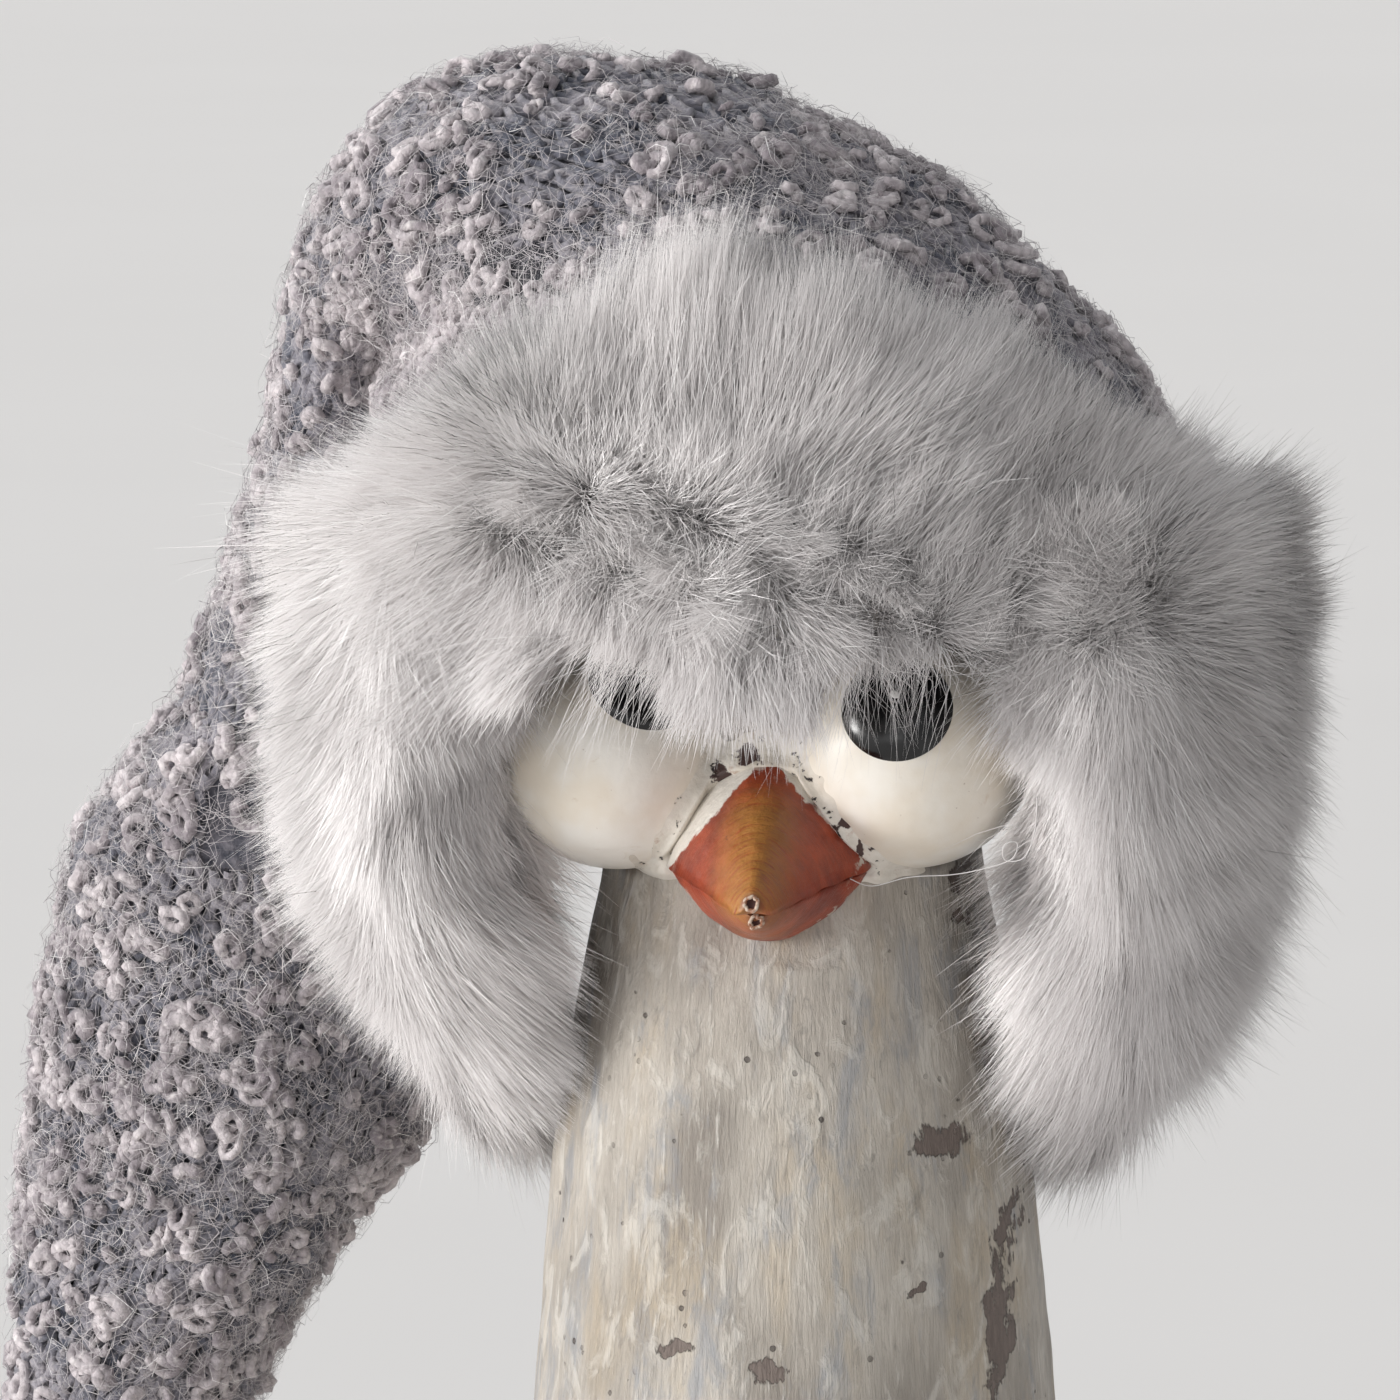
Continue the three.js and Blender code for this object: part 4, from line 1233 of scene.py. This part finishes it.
def add_bridge():
    """Filler that rounds the creases between the eyes, the head and the beak."""
    x, z = np.meshgrid(np.linspace(-17, 16, 190), np.linspace(242.5, 274, 190))
    head = -np.sqrt(np.maximum(figure_radius(z) ** 2 - x * x, 4.0))
    fronts = [ball_front(x, z, *eye) for eye in EYES.values()] + [head, beak_front(x, z)]
    total = sum(np.exp(-(front + 20) / BRIDGE_SOFT) for front in fronts)
    y = -20 - BRIDGE_SOFT * np.log(total) + BRIDGE_SUNK
    lump = Waves(44, 3.0, 10)
    flat = np.stack([x, 0 * x, z], -1)
    y = y + 0.16 * lump.at(flat) + 0.08 * BRUSH.at(flat * 3)
    in_front = beak_front(x, z) - np.minimum(np.minimum(fronts[0], fronts[1]), head)
    y = y + 3.0 * smoothstep(-1.6, -4.5, in_front)
    y = y + 4.0 * smoothstep(249.0, 246.5, z)
    for middle in (pupil_middle(side) for side in EYES):
        y = y + 3.0 * smoothstep(9.0, 7.0, np.hypot(x - middle[0], z - middle[2]))
    points = np.stack([x, y, z], -1).reshape(-1, 3)
    bridge = mesh_object("bridge", points, grid_faces(190, 190, wrap=False), bridge_look())
    attach(bridge, "figure", "white_paint")


def add_beak():
    rust = beak_look()
    for half, stations in (("upper", UPPER_BEAK), ("lower", LOWER_BEAK)):
        piece = mandible(f"painted_beak_{half}", stations, rust)
        attach(piece, "figure", "rust_paint", f"beak_{half}")
    add_nail_holes()


# ---------------------------------------------------------------- wings, legs and stand

QUILLS = 7                             # carved feather rows down a wing
WING_LOW = 90.0                        # height of the wings' lower tips, and how tall the wings are
WING_TALL = 92.0


def carved(p):
    """Depth of the shallow feather lines carved in the wings and the tail."""
    row = (p[:, 2] - WING_LOW) / WING_TALL * QUILLS
    arc = np.abs(((p[:, 1] - 3) / 6.0 + 0.5 * (np.floor(row) % 2)) % 1 - 0.5)
    groove = np.exp(-(((row % 1) - 0.15 - 0.9 * arc) / 0.09) ** 2)
    return 0.12 * DENTS.at(p) + 0.08 * BRUSH.at(p) - 0.5 * groove


def worn(p):
    return 0.14 * DENTS.at(p) + 0.08 * BRUSH.at(p)


def wood_look(name, light, dark, ring, rough):
    """Grain that runs in bent layers through the piece."""
    look = Look(name, rough, Specular_IOR_Level=0.4)
    bent = look.vectors("ADD", look.stretched(0.25, 1.0, 1.4), (0.3, 0.2, 0.1))
    wave = look.node("ShaderNodeTexWave", {"Vector": bent, "Scale": 1000 / ring, "Distortion": 5.0,
                                           "Detail": 3.0, "Detail Scale": 1.6}, out=1,
                     wave_type="BANDS", bands_direction="Y")
    pores = look.noise(0.7, 4.0, 0.7, look.stretched(0.12, 2.0, 2.0))
    colour = look.over(look.tones(wave, 0.15, 0.9, dark, light), pores, 0.55, 0.72, dark, 0.5)
    look.set("Base Color", colour)
    look.bump(look.total((wave, 0.4), (pores, 1.0)), 0.12)
    return look.material


def rust_look():
    """Rust-orange paint rubbed back to brown, as on the beak."""
    look = Look("rust_paint_worn", 0.5, Specular_IOR_Level=0.45)
    colour = look.tones(look.noise(9, 4.0, 0.6, warp=0.4), 0.3, 0.7, (146, 66, 40), (104, 46, 30))
    gold = look.noise(2.2, 5.0, 0.7, look.stretched(2.2, 2.2, 0.5))
    colour = look.over(colour, gold, 0.5, 0.68, (188, 132, 66), 0.65)
    scuff = look.noise(3.5, 5.0, 0.7, warp=0.6)
    look.set("Base Color", look.over(colour, scuff, 0.57, 0.65, (82, 44, 32)))
    look.set("Roughness", look.steps(gold, 0.3, 0.7, 0.38, 0.6))
    look.bump(look.total((gold, 0.5), (scuff, 1.0)), 0.25)
    return look.material


def metal_look():
    look = Look("zinc_screw", 0.35, Metallic=1.0)
    tone = look.noise(2.5, 3.0)
    look.set("Base Color", look.blend(tone, linear(150, 150, 154), linear(190, 190, 192)))
    look.set("Roughness", look.steps(tone, 0.3, 0.7, 0.28, 0.45))
    return look.material


def felt_look():
    look = Look("grey_felt", 0.95, Sheen_Weight=0.3, Sheen_Roughness=0.6)
    fibre = look.noise(0.9, 5.0, 0.75, warp=1.5)
    look.set("Base Color", look.tones(fibre, 0.35, 0.65, (86, 84, 86), (128, 125, 126)))
    look.bump(fibre, 0.35)
    return look.material


def add_lower_figure(paint):
    rust = rust_look()
    for side in SIGN:
        shaped_copy(f"wing_{side}", f"carved_wing_{side}", paint, "figure", "white_paint", 0.9, 3, carved)
        shaped_copy(f"foot_{side}", f"carved_foot_{side}", rust, "figure", "rust_paint", 1.2, 2, worn)
        shaped_copy(f"leg_{side}", f"turned_leg_{side}", rust, "figure", "rust_wood", 1.4, 1, worn)
    shaped_copy("bird_tail", "carved_tail", paint, "figure", "white_paint", 0.9, 3, carved)


# Radius and height round the plinth's section
PLINTH = np.array([[0.01, 1.9], [44.0, 1.9], [45.8, 2.1], [46.8, 3.0], [47.0, 4.6], [47.0, 10.4],
                   [46.6, 12.2], [45.2, 13.5], [43.2, 14.0], [0.01, 14.0]])


def add_stand():
    stained = wood_look("stained_plinth", (112, 80, 56), (80, 54, 37), 9.0, 0.5)
    lengths = np.concatenate([[0], np.cumsum(np.linalg.norm(np.diff(PLINTH, axis=0), axis=1))])
    run = np.interp(np.linspace(0, lengths[-1], 160), lengths, np.arange(len(PLINTH)))
    r, z = spline(PLINTH, run).T
    angle = around(180)
    p = np.stack([r[:, None] * np.cos(angle), r[:, None] * np.sin(angle),
                  np.clip(z, 1.9, 14.0)[:, None] + 0 * angle], -1).reshape(-1, 3)
    p = p - unit(p * [1, 1, 0]) * (0.05 * (1 + DENTS.at(p)))[:, None]
    plinth = mesh_object("turned_plinth", p, grid_faces(160, 180), stained)
    attach(plinth, "figure", "stained_wood", "plinth")
    shaped_copy("felt_disc", "felt_pad", felt_look(), "figure", "felt", 2.2, 0)
    bare = wood_look("bare_dowel", (196, 164, 122), (160, 124, 84), 3.0, 0.6)
    metal = metal_look()
    for name, material in (("neck_dowel", bare), ("leg_screw_left", metal), ("leg_screw_right", metal)):
        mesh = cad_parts[name].data
        mesh.materials.clear()
        mesh.materials.append(material)


# ---------------------------------------------------------------- insides of the hood and tassel

def cloth_look(name, dark, light, thread):
    """Woven cloth: two crossing sets of fine threads."""
    look = Look(name, 0.92, Sheen_Weight=0.2, Sheen_Roughness=0.5)
    threads = {"Vector": look.where, "Scale": 1000 / thread, "Distortion": 1.2}
    warp, weft = (look.node("ShaderNodeTexWave", threads, out=1, bands_direction=axis) for axis in "ZX")
    weave = look.math("MULTIPLY", warp, weft)
    colour = look.blend(weave, linear(*dark), linear(*light))
    look.set("Base Color", look.over(colour, look.noise(3.0, 4.0), 0.4, 0.7, dark, 0.4))
    look.bump(weave, 0.15)
    return look.material


def add_insides():
    # Dark grey lining cloth; its darkness is partly painted shade, standing for the shade inside the flaps
    lining = cloth_look("jersey_lining", (58, 58, 64), (92, 91, 98), 0.9)
    wool = cloth_look("wadding", (196, 194, 190), (226, 224, 220), 3.5)
    folds = Waves(51, 14.0, 8)

    def soft(p):
        return 0.25 * folds.at(p)

    def tight(p):
        return 0.12 * folds.at(p) - 0.1

    padded = [shaped_copy("crown_wadding", "crown_stuffing", wool, "hood", "wadding", 2.4, 2, soft),
              shaped_copy("tail_wadding", "tail_stuffing", wool, "tail", "wadding", 2.4, 2, tight)]
    shaped_copy("crown_lining", "hood_lining", lining, "hood", "lining", 1.8, 1, tight)
    for side in SIGN:
        shaped_copy(f"flap_{side}_lining", f"flap_cloth_{side}", lining, f"flap_{side}", "lining", 1.4, 1,
                    tight)


TASSEL_TOP = np.array([-82.5, 24.0, 153.4])
TASSEL_LENGTH = 20.0


def add_tassel():
    """A short tuft of the hood's yarn at the tip of the tail, bound at its top."""
    rng = np.random.default_rng(52)
    count = 170
    t = np.linspace(0, 1, 14)[None, :]
    angle = rng.uniform(0, 2 * np.pi, (count, 1))
    spread = np.sqrt(rng.random((count, 1)))
    swell = 1.3 + 3.4 * np.sin(np.clip(t * 1.15, 0, 1) * np.pi / 1.6)
    twist = angle + 0.5 * t + 0.25 * np.sin(t * 9 + angle * 3)
    r = spread * swell
    length = TASSEL_LENGTH * rng.uniform(0.86, 1.0, (count, 1))
    wave = 0.35 * np.sin(t * 16 + rng.uniform(0, 6, (count, 1)))
    path = TASSEL_TOP + np.stack([(r + wave) * np.cos(twist), (r + wave) * np.sin(twist), -length * t], -1)
    normals = unit(np.stack([np.cos(twist), np.sin(twist), 0 * twist], -1))
    yarn = yarn_look("tassel_yarn", (92, 92, 102), (150, 144, 148), (178, 170, 171), 12)
    strands = tubes(path, normals, np.full((count, 14), 0.36), 5)
    turn = np.linspace(0, 10 * np.pi, 160)[None, :]
    band = TASSEL_TOP + np.stack([2.0 * np.cos(turn), 2.0 * np.sin(turn), -2.2 - turn * 0.055], -1)
    out = np.stack([np.cos(turn), np.sin(turn), 0 * turn], -1)
    points, faces, uv = join([strands, tubes(band, out, np.full((1, 160), 0.34), 6)])
    attach(mesh_object("tassel", points, faces, yarn, uv), "tail", "boucle_knit", "tail_tassel")


add_camera()
add_studio()
painted = paint_look()
add_fur()
add_hood()
add_figure(painted)
add_eyes()
add_beak()
add_bridge()
add_lower_figure(painted)
add_stand()
add_insides()
add_tassel()
